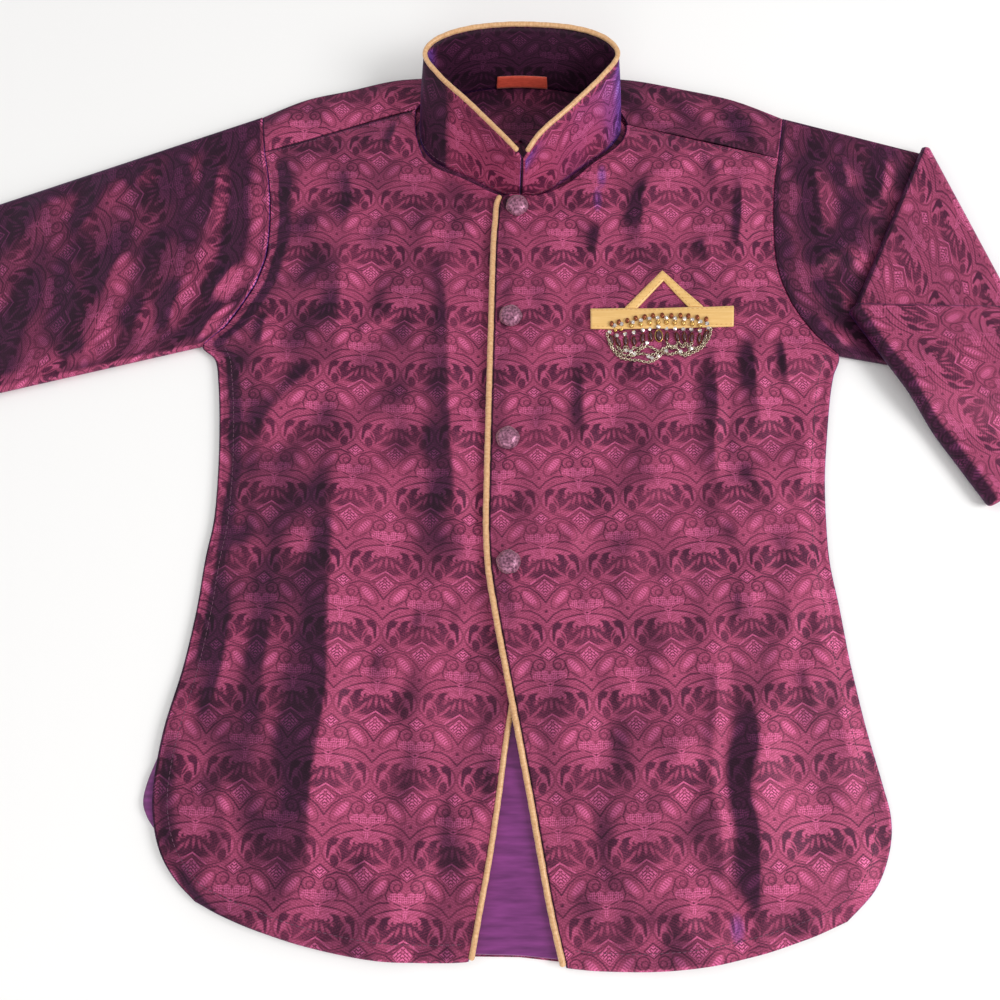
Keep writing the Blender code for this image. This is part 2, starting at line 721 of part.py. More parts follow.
def beyond(x, y, line):
    """Distance of a point past a line, on the line's left-hand side as seen from its first point."""
    (ax, ay), (bx, by) = line
    length = math.dist(*line)
    return ((bx - ax) * (y - ay) - (by - ay) * (x - ax)) / length


def on_upper(x, y):
    """1 where the upper stretch of the folded sleeve lies below a point, fading to 0 past its edges."""
    past_fold = beyond(x, y, FOLD_ONE) - ROLL_CLEAR
    past_low = beyond(x, y, UPPER_LOW_EDGE) - EDGE_CLEAR
    return smooth(1 - past_fold / SETTLE) * smooth(1 - past_low / SETTLE)


def on_middle(x, y):
    """1 where the middle stretch of the folded sleeve lies below a point, fading to 0 past its edges."""
    past_fold = beyond(x, y, FOLD_ONE) - ROLL_CLEAR
    past_low = -beyond(x, y, MIDDLE_LOW_EDGE) - EDGE_CLEAR
    return smooth(1 - past_fold / SETTLE) * smooth(1 - past_low / SETTLE)


def sleeve_left_sections():
    """Sections of the folded sleeve: (first line, last line, share between them, layer, share turned over).

    Layers 0, 1 and 2 are the upper, middle and lower stretches. At a fold the section swings round the fold
    line, so its share turned over runs from 0 to 1.
    """
    armhole = armhole_line(YOKE_LEFT_ROWS, FRONT_LEFT_ROWS, 1)
    sections = [(armhole, FOLD_ONE, span / UPPER_SPANS, 0, 0.0) for span in range(UPPER_SPANS + 1)]
    sections += [(FOLD_ONE, FOLD_ONE, 0.0, 0, step / FOLD_STEPS) for step in range(1, FOLD_STEPS)]
    sections += [(FOLD_ONE, FOLD_TWO, span / MIDDLE_SPANS, 1, 0.0) for span in range(MIDDLE_SPANS + 1)]
    sections += [(FOLD_TWO, FOLD_TWO, 0.0, 1, step / FOLD_STEPS) for step in range(1, FOLD_STEPS)]
    sections += [(FOLD_TWO, CUFF_LEFT, span / LOWER_SPANS, 2, 0.0) for span in range(LOWER_SPANS + 1)]
    return sections


def fold_normal(line):
    """Unit vector square to a fold line, on its right-hand side as seen from its first point."""
    (ax, ay), (bx, by) = line
    length = math.dist(*line)
    return Vector(((by - ay) / length, -(bx - ax) / length))


def make_sleeve_left(collection):
    """Flat tube folded twice. Each layer rests on those below it and settles past their edges."""
    half = SLEEVE_THICK / 2
    outer = []
    inner = []
    # square to each fold line and away from the cloth that turns there
    out_one = -fold_normal(FOLD_ONE)
    out_two = fold_normal(FOLD_TWO)
    for first_line, last_line, share_out, layer, turned_over in sleeve_left_sections():
        wide = math.dist(
            mix_point(first_line[0], last_line[0], share_out),
            mix_point(first_line[-1], last_line[-1], share_out),
        )
        ring_out, ring_in = flat_ring(-half, half, wide, lambda share: 0.0)
        angle = math.pi * turned_over
        facing_up = 1.0 if layer != 1 else -1.0
        flip = math.cos(angle) * facing_up
        swing = math.sin(angle)
        climb = (1 - math.cos(angle)) / 2
        outward = out_one if layer == 0 else out_two
        for ring, rows in ((ring_out, outer), (ring_in, inner)):
            line = []
            for share, across in ring:
                share = min(1.0, max(0.0, share))
                x, y = mix_point(along(first_line, share), along(last_line, share), share_out)
                reach = (LAYER_PITCH / 2 - facing_up * across) * swing
                spot = Vector((x, y)) + outward * reach
                over_upper = on_upper(x, y) * (climb if layer == 0 else 1.0)
                over_middle = on_middle(x, y) * (0.0, climb, 1.0)[layer]
                z = half + LAYER_PITCH * (over_upper + over_middle) + across * flip
                line.append((spot.x, spot.y, z))
            rows.append(line)
    return wall_from_grids("sleeve_left", outer, inner, "brocade", collection, ring=True)


def edge_x_at(rows, y):
    """Front edge x of a front at a height up the coat."""
    for upper, lower in zip(rows, rows[1:]):
        if upper[3] >= y >= lower[3] and upper[3] - lower[3] > 3:
            return mix(upper[2], lower[2], (upper[3] - y) / (upper[3] - lower[3]))
    return rows[-1][2]


def surface_of(made):
    """Height reader on the top of a piece."""
    tree = BVHTree.FromPolygons([vertex.co for vertex in made.data.vertices],
                                [tuple(face.vertices) for face in made.data.polygons])

    def height(x, y):
        hit = tree.ray_cast(Vector((x * MM, y * MM, 1.0)), Vector((0, 0, -1)))[0]
        return hit.z / MM

    return height


def make_buttons(height, collection):
    """Domed buttons covered in the coat's cloth."""
    radius = BUTTON_WIDE / 2
    profile = [(out * radius * MM, 0, up * BUTTON_HIGH * MM) for out, up in BUTTON_PROFILE]
    edges = [(at, at + 1) for at in range(len(profile) - 1)]
    for number, y in enumerate(BUTTON_YS, 1):
        x = edge_x_at(FRONT_LEFT_ROWS, y) + BUTTON_INSET
        below = max(height(x + radius * math.cos(turn), y + radius * math.sin(turn)) for turn in range(7))
        mesh = bpy.data.meshes.new(f"button_{number}")
        mesh.from_pydata(profile, edges, [])
        made = bpy.data.objects.new(f"button_{number}", mesh)
        made.location = (x * MM, y * MM, (below + GAP) * MM)
        turned = made.modifiers.new("turned", "SCREW")
        turned.steps = BUTTON_STEPS
        turned.render_steps = BUTTON_STEPS
        turned.use_merge_vertices = True
        turned.merge_threshold = 0.00001
        mesh.materials.append(material(f"button_{number}", "button_cloth"))
        collection.objects.link(made)


def strip_on(name, rows, height, lift, thick, cloth, collection):
    """A strip on a panel: rows of plan points, each lifted from the panel's surface below it."""
    under = [[(x, y, height(x, y) + lift) for x, y in row] for row in rows]
    top = [[(x, y, z + thick) for x, y, z in row] for row in under]
    return wall_from_grids(name, top, under, cloth, collection)


def rows_between(first, last, levels, columns):
    """Plan rows between two lines, evenly spaced along each."""
    shares = [step / columns for step in range(columns + 1)]
    return [
        [mix_point(along(first, share), along(last, share), level) for share in shares]
        for level in levels
    ]


def make_pocket(height, collection):
    """Welt of the breast pocket, the pointed strip above it, and the backing of the beaded swag on it."""
    welt = rows_between(WELT_TOP, WELT_LOW, (0.0, 0.33, 0.67, 1.0), 14)
    strip_on("pocket_welt", welt, height, GAP, WELT_WALL, "pocket_silk", collection)
    point = rows_between(POINT_OUTER, POINT_INNER, (0.0, 0.5, 1.0), 12)
    strip_on("pocket_point", point, height, GAP, TRIM_WALL, "pocket_silk", collection)
    arch = []
    bowl = []
    for step in range(JEWEL_COLUMNS + 1):
        share = step / JEWEL_COLUMNS
        x, y = mix_point(*JEWEL_ENDS, share)
        swell = math.sin(math.pi * share)
        arch.append((x, y + JEWEL_END_HALF + JEWEL_ARCH * swell))
        bowl.append((x, y - JEWEL_END_HALF - JEWEL_BOWL * swell ** 0.75))
    levels = (0.0, 0.25, 0.5, 0.75, 1.0)
    jewel = [[mix_point(high, low, level) for high, low in zip(arch, bowl)] for level in levels]
    strip_on("pocket_jewel", jewel, height, 2 * GAP + WELT_WALL, JEWEL_THICK, "jewel_metal", collection)


def build():
    clear_scene()
    coat = bpy.data.collections.new("sherwani_coat")
    bpy.context.scene.collection.children.link(coat)

    flat_piece("back", back_outline(), 0.0, BACK_WALL, "brocade", coat)
    flat_piece("back_lining", lining_outline(), LINING_FLOOR, LINING_WALL, "lining", coat)
    flat_piece("neck_facing", facing_outline(), LINING_FLOOR, TRIM_WALL, "brocade", coat)

    _, right_top = make_front("front_right", FRONT_RIGHT_ROWS, CREASES_RIGHT, False, coat)
    left, left_top = make_front("front_left", FRONT_LEFT_ROWS, CREASES_LEFT, True, coat)
    make_edge_piping("front_right_piping", right_top, FRONT_RIGHT_ROWS, RIGHT_PIPING, 1, 5, coat)
    make_edge_piping("front_left_piping", left_top, FRONT_LEFT_ROWS, LEFT_PIPING, -1, 6, coat)
    make_yoke("yoke_right", YOKE_RIGHT_ROWS, coat)
    make_yoke("yoke_left", YOKE_LEFT_ROWS, coat)
    make_collar(coat)
    make_label(coat)
    make_sleeve_right(coat)
    make_sleeve_left(coat)

    height = surface_of(left)
    make_buttons(height, coat)
    make_pocket(height, coat)


build()
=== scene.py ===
# %% [markdown]
# # A child's sherwani coat, laid flat
# A sherwani is a long, close-fitting coat with a standing band collar and a buttoned front. This one
# is cut from shot brocade: magenta and dark plum threads cross in it, with a little violet, so the
# cloth changes colour as it turns. It lies on its back on a table, and the left sleeve is folded over
# twice.
#
# The lesson builds every piece as a thin closed shell of cloth in millimetres, gives it a grain map,
# and weaves the pattern in the material from a short chart of shapes.

# %% tools and frame
import bmesh
import bpy
import numpy as np
from math import atan2, cos, dist, hypot, pi, radians, sin
from mathutils import Matrix, Vector
from mathutils.bvhtree import BVHTree


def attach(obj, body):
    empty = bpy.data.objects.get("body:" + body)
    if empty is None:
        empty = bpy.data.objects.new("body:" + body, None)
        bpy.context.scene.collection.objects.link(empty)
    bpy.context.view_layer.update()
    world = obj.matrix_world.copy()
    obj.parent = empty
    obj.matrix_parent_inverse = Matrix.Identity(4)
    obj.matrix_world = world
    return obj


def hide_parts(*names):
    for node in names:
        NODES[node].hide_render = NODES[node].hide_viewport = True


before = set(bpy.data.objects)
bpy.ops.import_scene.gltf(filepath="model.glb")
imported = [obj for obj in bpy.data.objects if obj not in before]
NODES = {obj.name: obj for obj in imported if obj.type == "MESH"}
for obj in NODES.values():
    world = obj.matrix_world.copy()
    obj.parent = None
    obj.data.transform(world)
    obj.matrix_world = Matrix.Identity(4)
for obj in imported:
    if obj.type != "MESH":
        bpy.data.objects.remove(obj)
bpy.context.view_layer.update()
MM = 0.001

# %% [markdown]
# ## Camera, table and light
# The camera looks down at the coat and leans a little towards the collar. A flat textile is judged by
# its sheen, so the light is a wide soft panel on one side and a weaker one on the other.
# That way each fold shows one bright slope and one dark slope.

# %% camera


def placed(name, data):
    """An object made from its data and linked to the scene."""
    made = bpy.data.objects.new(name, data)
    bpy.context.scene.collection.objects.link(made)
    return made


camera_data = bpy.data.cameras.new("camera")
camera_data.sensor_width = 36.0
camera_data.lens = 34.2
camera_data.dof.use_dof = False
camera = placed("camera", camera_data)
camera.location = (-0.0115, -0.155, 0.518016)
camera.rotation_euler = (radians(13.9), 0, 0)
bpy.context.scene.camera = camera
print("camera, mm above the table:", round(camera.location.z / MM))

# %% [markdown]
# Colours are given as sRGB hex codes, as they are read off a swatch, and turned to linear light for the
# shader. One small function adds a node with its settings and links, so a material reads as a list.

# %% colours


def linear(channel):
    """One sRGB channel, 0 to 1, as linear light."""
    return channel / 12.92 if channel <= 0.04045 else ((channel + 0.055) / 1.055) ** 2.4


def colour(code):
    """An sRGB hex code as the linear colour that the shader needs."""
    return (*[linear(int(code[at:at + 2], 16) / 255) for at in (0, 2, 4)], 1.0)


print("mid grey in linear light:", round(linear(0.5), 3))

# %% materials and nodes


def new_material(name):
    """A material with only a Principled shader: (material, its tree, the shader)."""
    made = bpy.data.materials.new(name)
    made.use_nodes = True
    return made, made.node_tree, made.node_tree.nodes["Principled BSDF"]


def node(tree, kind, *values, named=None, **settings):
    """Adds a node. Values fill its open inputs in order. A value may be another node's first output."""
    made = tree.nodes.new(kind)
    for key, value in settings.items():
        setattr(made, key, value)
    pairs = list(zip([socket for socket in made.inputs if socket.enabled], values))
    pairs += [(made.inputs[key], value) for key, value in (named or {}).items()]
    for socket, value in pairs:
        if isinstance(value, bpy.types.Node):
            value = next(out for out in value.outputs if out.enabled)
        if isinstance(value, bpy.types.NodeSocket):
            tree.links.new(value, socket)
        elif value is not None:
            socket.default_value = value
    return made


print("the node helper fills inputs, names and settings in one call")

# %% table top
TABLE_HALF = 6
TABLE_DROP = 0.0002
floor_mesh = bpy.data.meshes.new("table_top")
floor_mesh.from_pydata([(-TABLE_HALF, -TABLE_HALF, 0), (TABLE_HALF, -TABLE_HALF, 0),
                        (TABLE_HALF, TABLE_HALF, 0), (-TABLE_HALF, TABLE_HALF, 0)], [], [(0, 1, 2, 3)])
table_top = placed("table_top", floor_mesh)
table_top.location.z = -TABLE_DROP
paint, _, paint_shader = new_material("pale_paint")
paint_shader.inputs["Base Color"].default_value = colour("f4f3f2")
paint_shader.inputs["Roughness"].default_value = 0.7
floor_mesh.materials.append(paint)
print("table top, metres across:", 2 * TABLE_HALF)

# %% light
world = bpy.data.worlds.new("studio")
world.use_nodes = True
world.node_tree.nodes["Background"].inputs["Color"].default_value = (1, 1, 1, 1)
world.node_tree.nodes["Background"].inputs["Strength"].default_value = 0.62
bpy.context.scene.world = world
bpy.context.scene.view_settings.view_transform = "Standard"


def soft_light(name, place, target, size, power):
    """A square panel of light at a place, turned to a target."""
    data = bpy.data.lights.new(name, "AREA")
    data.size = size
    data.energy = power
    made = placed(name, data)
    made.location = place
    aim = Vector(target) - Vector(place)
    made.rotation_euler = aim.to_track_quat("-Z", "Y").to_euler()


soft_light("key", (1.5, -0.35, 1.25), (0, 0, 0), 0.9, 24)
soft_light("fill", (-1.3, 0.5, 1.3), (0, 0, 0), 1.2, 4)
soft_light("front", (-0.2, -1.5, 0.7), (0, 0.1, 0), 1.0, 7)
print("three soft panels of light")

# %% [markdown]
# ## Shells of cloth
# Every cloth is a grid of points on its top and a grid on its underside. The two are joined round the
# border by a rounded rim, because real cloth is turned in at its edges. Each grid carries its place
# on the flat cloth, the grain map, so that the woven pattern follows every fold.

# %% smooth curves


def smooth(t):
    """0 below 0, 1 above 1, with a soft step between."""
    t = np.clip(t, 0.0, 1.0)
    return t * t * (3 - 2 * t)


def mix(a, b, t):
    """The value a share t of the way from a to b."""
    return a + (b - a) * t


def curve_through(rows, places):
    """Rows of numbers on a smooth curve through the given rows. A place counts rows from 0."""
    rows = np.asarray(rows, float)
    places = np.asarray(places, float)
    last = len(rows) - 1
    start = np.clip(np.floor(places).astype(int), 0, last - 1)
    t = (places - start)[:, None]
    a, b, c, d = (rows[np.clip(start + step, 0, last)] for step in (-1, 0, 1, 2))
    bend = 2 * a - 5 * b + 4 * c - d
    twist = 3 * b - a - 3 * c + d
    return 0.5 * (2 * b + (c - a) * t + bend * t ** 2 + twist * t ** 3)


def length_gone(line):
    """Length of a line from its start to each of its points."""
    steps = np.linalg.norm(np.diff(line, axis=0), axis=1)
    return np.concatenate([[0], np.cumsum(steps)])


def along(points, shares):
    """Points at shares of the length of an open line."""
    points = np.asarray(points, float)
    gone = length_gone(points)
    wanted = np.clip(shares, 0, 1) * gone[-1]
    return np.stack([np.interp(wanted, gone, points[:, axis]) for axis in range(points.shape[1])], -1)


print("half of a smooth step:", smooth(0.5))

# %% objects from points


def point_outwards(mesh):
    """Turns the faces of a closed mesh outwards."""
    work = bmesh.new()
    work.from_mesh(mesh)
    bmesh.ops.recalc_face_normals(work, faces=work.faces)
    if work.calc_volume(signed=True) < 0:
        bmesh.ops.reverse_faces(work, faces=work.faces)
    work.to_mesh(mesh)
    work.free()


def new_object(name, points, faces, grain=None):
    """A smooth object from points in mm, with its place in its mesh.

    With a grain map, which has one place in mm for each corner of each face, its faces are turned
    outwards too.
    """
    mesh = bpy.data.meshes.new(name)
    mesh.from_pydata((np.asarray(points) * MM).tolist(), [], faces)
    if grain is not None:
        layer = mesh.uv_layers.new(name="grain")
        corners = np.array([corner for face in grain for corner in face])
        layer.data.foreach_set("uv", (corners.reshape(-1) * MM).astype(np.float32))
        point_outwards(mesh)
    mesh.shade_smooth()
    return placed(name, mesh)


print("objects are made from points in mm")

# %% rims


def border_loops(rows, columns, ring):
    """The border of a grid as closed loops of (row, column)."""
    if ring:
        return [[(0, column) for column in range(columns)],
                [(rows - 1, column) for column in reversed(range(columns))]]
    walk = [(0, column) for column in range(columns)]
    walk += [(row, columns - 1) for row in range(1, rows)]
    walk += [(rows - 1, column) for column in reversed(range(columns - 1))]
    walk += [(row, 0) for row in reversed(range(1, rows - 1))]
    return [walk]


def rim_points(top, under, loops, ring, rim):
    """The middle of the wall all round its border, pushed outwards by the reach of the rim."""
    rows, columns = top.shape[:2]
    middles = []
    for loop in loops:
        for at, (row, column) in enumerate(loop):
            middle = (top[row, column] + under[row, column]) / 2
            wall = top[row, column] - under[row, column]
            before = top[loop[at - 1]]
            after = top[loop[(at + 1) % len(loop)]]
            out = np.cross(wall, after - before)
            size = np.linalg.norm(out)
            inside_row = min(max(row, 1), rows - 2)
            inside_column = column if ring else min(max(column, 1), columns - 2)
            inward = top[inside_row, inside_column] - top[row, column]
            if np.dot(out, inward) > 0:
                out = -out
            middles.append(middle + out / max(size, 1e-9) * rim)
    return np.array(middles)


def rim_faces(loops, grain, columns, inside, ring):
    """Two rows of faces round each loop of the border, with their grain: (faces, grain)."""
    faces = []
    places = []
    first = 2 * inside
    for loop in loops:
        for at, (row, column) in enumerate(loop):
            following = (at + 1) % len(loop)
            next_row, next_column = loop[following]
            here = row * columns + column
            there = next_row * columns + next_column
            near, far = grain[row, column], grain[next_row, next_column]
            if ring and abs(column - next_column) > 1:
                high = max(column, next_column) + 1
                near = grain[row, high if column == 0 else column]
                far = grain[next_row, high if next_column == 0 else next_column]
            low, low_next = first + at, first + following
            faces.append([there, here, low, low_next])
            faces.append([low_next, low, inside + here, inside + there])
            places += [[far, near, near, far]] * 2
        first += len(loop)
    return faces, places


print("border of a 3 by 3 grid:", len(border_loops(3, 3, False)[0]), "points")

# %% shells


def shell(name, top, under, grain, rim=0.35, ring=False, turned=None):
    """A closed thin shell from two grids of points in mm, with its grain map in mm.

    With ring, the columns close on themselves: the grain then has one column more than the points.
    turned is painted light and shade: how far it brightens or dims the cloth's colour, one value, a grid
    of values, or a pair of them for the top and the underside.
    """
    top = np.asarray(top, float)
    under = np.asarray(under, float)
    grain = np.asarray(grain, float)
    rows, columns = top.shape[:2]
    loops = border_loops(rows, columns, ring)
    points = np.concatenate([top.reshape(-1, 3), under.reshape(-1, 3),
                             rim_points(top, under, loops, ring, rim)])
    inside = rows * columns
    faces = []
    places = []
    for row in range(rows - 1):
        for column in range(columns if ring else columns - 1):
            corners = [(row, column), (row, column + 1), (row + 1, column + 1), (row + 1, column)]
            at = [down * columns + across % columns for down, across in corners]
            faces.append(at)
            places.append([grain[corner] for corner in corners])
            faces.append([inside + corner for corner in reversed(at)])
            places.append([grain[corner] for corner in reversed(corners)])
    edge_faces, edge_places = rim_faces(loops, grain, columns, inside, ring)
    made = new_object(name, points, faces + edge_faces, places + edge_places)
    if turned is not None:
        outside, inner_side = (np.broadcast_to(np.asarray(side, float), (rows, columns)).reshape(-1)
                               for side in (turned if isinstance(turned, tuple) else (turned, turned)))
        border = np.array([outside[row * columns + column] for loop in loops for row, column in loop])
        values = np.concatenate([outside, inner_side, border]).astype(np.float32)
        made.data.attributes.new("turned", "FLOAT", "POINT").data.foreach_set("value", values)
    return made


def cloth_area(top):
    """Area of a grid of points, in square metres."""
    top = np.asarray(top, float)
    across = top[1:, 1:] - top[:-1, :-1]
    back = top[1:, :-1] - top[:-1, 1:]
    return float(np.linalg.norm(np.cross(across, back), axis=2).sum() / 2 * MM * MM)


def grain_of(top, turn=0.0, origin=(0.0, 0.0)):
    """Grain map of a grid that lies nearly flat: its plan, turned by degrees about an origin."""
    plan = np.asarray(top, float)[..., :2] - np.array(origin)
    angle = radians(turn)
    across = plan[..., 0] * cos(angle) + plan[..., 1] * sin(angle)
    up = -plan[..., 0] * sin(angle) + plan[..., 1] * cos(angle)
    return np.stack([across, up], -1)


print("a 10 mm square of cloth, m2:", cloth_area([[(0, 0, 0), (10, 0, 0)], [(0, 10, 0), (10, 10, 0)]]))

# %% [markdown]
# ## Creases
# A crease in laid cloth is a ridge with two slopes of different widths that fades at both ends.
# Each row of a table below is one fold. Between them the cloth is never quite flat, so a sum of a few
# long waves in different directions adds the small rise and fall of pressed brocade.

# %% crease helpers
CREST_ROUND = 0.1
CREST_POWER = 1.7
CREST_STEPS = 6
FOLD_FADE = 0.3


def folds(x, y, table):
    """Sum of the folds at plan points: a sharp crest with a long slope on each side, faded at its ends.

    A row is the slope on the right of its run, the slope on the left, its height and then the points of
    its crest. A negative height is a valley.
    """
    total = np.zeros_like(x)
    for slope_right, slope_left, height, *crest in table:
        crest = np.reshape(crest, (-1, 2))
        stretches = len(crest) - 1
        line = curve_through(crest, np.linspace(0, stretches, CREST_STEPS * stretches + 1))
        gone = length_gone(line)
        nearest = np.full_like(x, 1e9)
        share = np.zeros_like(x)
        for (ax, ay), (bx, by), start, end in zip(line[:-1], line[1:], gone[:-1], gone[1:]):
            run_x, run_y = bx - ax, by - ay
            length = max(end - start, 1e-6)
            t = ((x - ax) * run_x + (y - ay) * run_y) / length ** 2
            held = np.clip(t, 0, 1)
            away = np.hypot(x - ax - held * run_x, y - ay - held * run_y)
            sign = np.where(run_x * (y - ay) - run_y * (x - ax) > 0, 1.0, -1.0)
            closer = away < np.abs(nearest)
            nearest = np.where(closer, away * sign, nearest)
            share = np.where(closer, (start + held * length) / gone[-1], share)
        slope = np.where(nearest > 0, slope_left, slope_right)
        t = np.clip(np.abs(nearest) / slope, 0, 1)
        rounded = (np.sqrt(t ** 2 + CREST_ROUND ** 2) - CREST_ROUND) / (1 - CREST_ROUND)
        across = np.clip(1 - rounded, 0, 1) ** CREST_POWER
        fade = smooth(share / FOLD_FADE) * smooth((1 - share) / FOLD_FADE)
        total += height * fade * across
    return total


WAVE_LENGTHS = (70, 46, 31, 21)
WAVES_EACH = 3


def waves(x, y, seed, height):
    """Low waves in mixed directions, the longest ones the highest."""
    chance = np.random.default_rng(seed)
    total = np.zeros_like(x)
    for length in WAVE_LENGTHS:
        for _ in range(WAVES_EACH):
            turn = chance.uniform(0, pi)
            phase = chance.uniform(0, 2 * pi)
            place = (x * cos(turn) + y * sin(turn)) / length
            sway = 0.8 * np.sin((x * sin(turn) - y * cos(turn)) / (length * 1.7) + phase * 2)
            total += np.sin(2 * pi * place + phase + sway) * (length / WAVE_LENGTHS[0]) / WAVES_EACH
    return total * height


print("a fold's crest, mm:", folds(np.zeros(1), np.zeros(1), [(9, 9, 2.0, 0, -50, 0, 50)]).round(2))

# %% [markdown]
# ## Layers
# All tables are in millimetres. The wearer's right is at negative X, the collar at positive Y. The coat
# is a stack of cloths, so each one starts where the one below it ends, with a small gap between them.

# %% walls and floors
GAP = 0.3
BACK_WALL = 1.4
LINING_WALL = 1
FRONT_WALL = 1.5
TRIM_WALL = 1.2

LINING_FLOOR = BACK_WALL + GAP
FRONT_FLOOR = LINING_FLOOR + LINING_WALL + 0.5
RIGHT_PIPING = 3
LEFT_PIPING = 3.3
OVERLAP_FLOOR = FRONT_FLOOR + RIGHT_PIPING + GAP
BODY_FLOOR = FRONT_FLOOR + 0.8
print("floors, mm:", {"lining": LINING_FLOOR, "front": FRONT_FLOOR, "overlap": round(OVERLAP_FLOOR, 1)})

# %% [markdown]
# ## The two fronts
# Each front is one panel of brocade, cut in a deep curve at the armhole and the neck. The left front
# laps over the right one and both edges stay flat where they are interfaced. Everywhere else the cloth
# rises a few millimetres from the lining below it, so the ridges have room to stand.

# %% outlines of the fronts
# One row for each cross line from the yoke seam down to the hem. A bow lets the line sag in its middle.
FRONT_RIGHT_ROWS = [
    # side_x, side_y, edge_x, edge_y, bow
    (-155.5, 191.5, -64.3, 221, 0), (-152.5, 176, -63.2, 203, 0), (-150.5, 160, -55.6, 184.2, 0),
    (-149.6, 144, -32.6, 172.4, 0), (-149.8, 131, -12.4, 162.2, 0), (-150.8, 120, 5.5, 159.6, 0),
    (-155.6, 104, 5.5, 140, 0), (-163.2, 89.7, 5.4, 118, 0), (-171.7, 76.7, 5.3, 96, 0),
    (-184, 65, 5.2, 77, 0), (-176, 56, 5, 60, 0), (-173.2, 42, 5, 41, 0), (-171, 20, 4.8, 18, 0),
    (-169.6, -8, 4.5, -9, 0), (-169.8, -38, 4, -38, 0), (-173, -61, 3, -64, 0), (-175.8, -90, 1, -92, 0),
    (-181, -122, -4, -124, 0), (-188, -152, -9.5, -155, 0), (-191, -180, -13.5, -184, 1),
    (-189.5, -198, -16.8, -206, 4), (-184.5, -213.5, -20.3, -226, 7), (-176, -226, -24, -245, 9),
    (-165.2, -236.2, -27.5, -264.2, 9.5),
]
FRONT_LEFT_ROWS = [
    # side_x, side_y, edge_x, edge_y, bow
    (158.3, 187, 66.8, 210.5, 0), (155.6, 173, 65, 201, 0), (153.9, 159, 58.8, 192.2, 0),
    (152.8, 145, 44.2, 181, 0), (152.3, 130, 28.9, 167.6, 0), (152.8, 117, 11, 159.9, 0),
    (155, 105, -9.3, 159.6, 0), (159.5, 92, -12.6, 143, 0), (165.5, 81, -13.9, 122, 0),
    (172.5, 71, -14.5, 99, 0), (184.4, 59, -15, 77, 0), (180.4, 46, -15.5, 57, 0),
    (177.2, 32, -16, 36, 0), (173.4, 8, -16.6, 10, 0), (170.3, -16, -17.2, -18, 0),
    (169, -42, -17.5, -45, 0), (169.2, -64, -16.2, -67, 0), (172.3, -88, -12.2, -92, 0),
    (175.6, -118, -6.7, -121, 0), (180.2, -149, -0.7, -152, 0), (186.2, -178, 5, -182, 1),
    (189.4, -197, 9.3, -206, 4), (186.6, -214, 13.2, -228, 7), (178, -231, 17.2, -248, 9),
    (162.7, -245.6, 21.8, -267, 9.5),
]
print("cross lines:", len(FRONT_RIGHT_ROWS), "right and", len(FRONT_LEFT_ROWS), "left")

# %% [markdown]
# A front is highest in its middle. It comes down to the layer below at its side, where it is seamed to
# the back, and it stays flat beside its front edge, where a stiff band is sewn in.

# %% height of a front
SLIT_TOP = -137
SLIT_EASE = 40
PLACKET_FLAT = 26.5
PLACKET_FADE = 20
PLACKET_CREASE_FADE = 16
HIDDEN_EDGE_FLAT = 24
HIDDEN_EDGE_FADE = 12
HIDDEN_EDGE_TOP = 150
COLLAR_SEAM_FADE = 8
SIDE_RISE = 14
EDGE_FADE = 24
FLAT_TOP_FADE = 16
OVERLAP_LOW = -190
OVERLAP_CLIMB = 40
SOFT_FROM_SIDE = 12
SOFT_FROM_EDGE = 10
FRONT_LOFT = 0.8
FRONT_WAVES = 0.9
LOWEST_VALLEY = FRONT_FLOOR - 0.6


def front_under(x, y, wide, share, table, overlaps, seed):
    """Underside height of a front at plan points."""
    from_edge = (1 - share) * wide
    from_side = share * wide
    edge_floor = np.full_like(y, FRONT_FLOOR)
    if overlaps:
        edge_floor = mix(FRONT_FLOOR, OVERLAP_FLOOR, smooth((y - OVERLAP_LOW) / OVERLAP_CLIMB))
    side_floor = mix(FRONT_FLOOR, LINING_FLOOR, smooth((y - SLIT_TOP) / SLIT_EASE))
    height = mix(edge_floor, BODY_FLOOR, smooth((from_edge - PLACKET_FLAT) / PLACKET_FADE))
    height = mix(side_floor, height, smooth(from_side / SIDE_RISE))
    neck_fade = smooth(from_edge / COLLAR_SEAM_FADE)
    if overlaps:
        fade = smooth((from_edge - PLACKET_FLAT) / PLACKET_CREASE_FADE)
    else:
        hidden_fade = smooth((from_edge - HIDDEN_EDGE_FLAT) / HIDDEN_EDGE_FADE)
        fade = np.where(y < HIDDEN_EDGE_TOP, hidden_fade, neck_fade)
    fade = fade * smooth(from_side / EDGE_FADE)
    soft = smooth(from_side / SOFT_FROM_SIDE) * smooth(from_edge / SOFT_FROM_EDGE)
    lift = fade * (folds(x, y, table) + FRONT_LOFT) + soft * waves(x, y, seed, FRONT_WAVES)
    return np.maximum(height + lift, LOWEST_VALLEY)


print("a front may sink to, mm:", round(LOWEST_VALLEY, 1))

# %% [markdown]
# Light and shade are also painted into the cloth's colour: a highlight on the rim of the side seam and
# of the neck, a shadow on the stiff band, a dimmed patch, violet glints and a little more light over the
# whole left front. The shell carries them as a value called turned, which the material reads.

# %% a front
FRONT_STEPS = 7
FRONT_ACROSS = 150
NECK_LOW = 158
NECK_STEP = 6
SEAM_PAINTED_HIGHLIGHT = 0.6
SEAM_START = 0.8
SEAM_WIDE = 1.6
BAND_PAINTED_SHADE = -0.9
BAND_WIDE = 5
BAND_CLIMB = 60
LEFT_PAINTED_LIGHT = 0.12
# Patches of the left front: x, y, reach_x, reach_y, strength. One is painted shade, the others are
# painted violet glints.
PAINTED_SHADE_PATCH = (154, -184, 35, 50, 0.6)
PAINTED_GLINTS = [(50, 173, 5, 13, 1.62), (47, 157, 5, 14, 1.58), (107, -249, 7, 13, 1.5)]


def sag(bow, share):
    """How far a line bowed at its middle hangs down at a share of its length."""
    return bow * 4 * share * (1 - share)


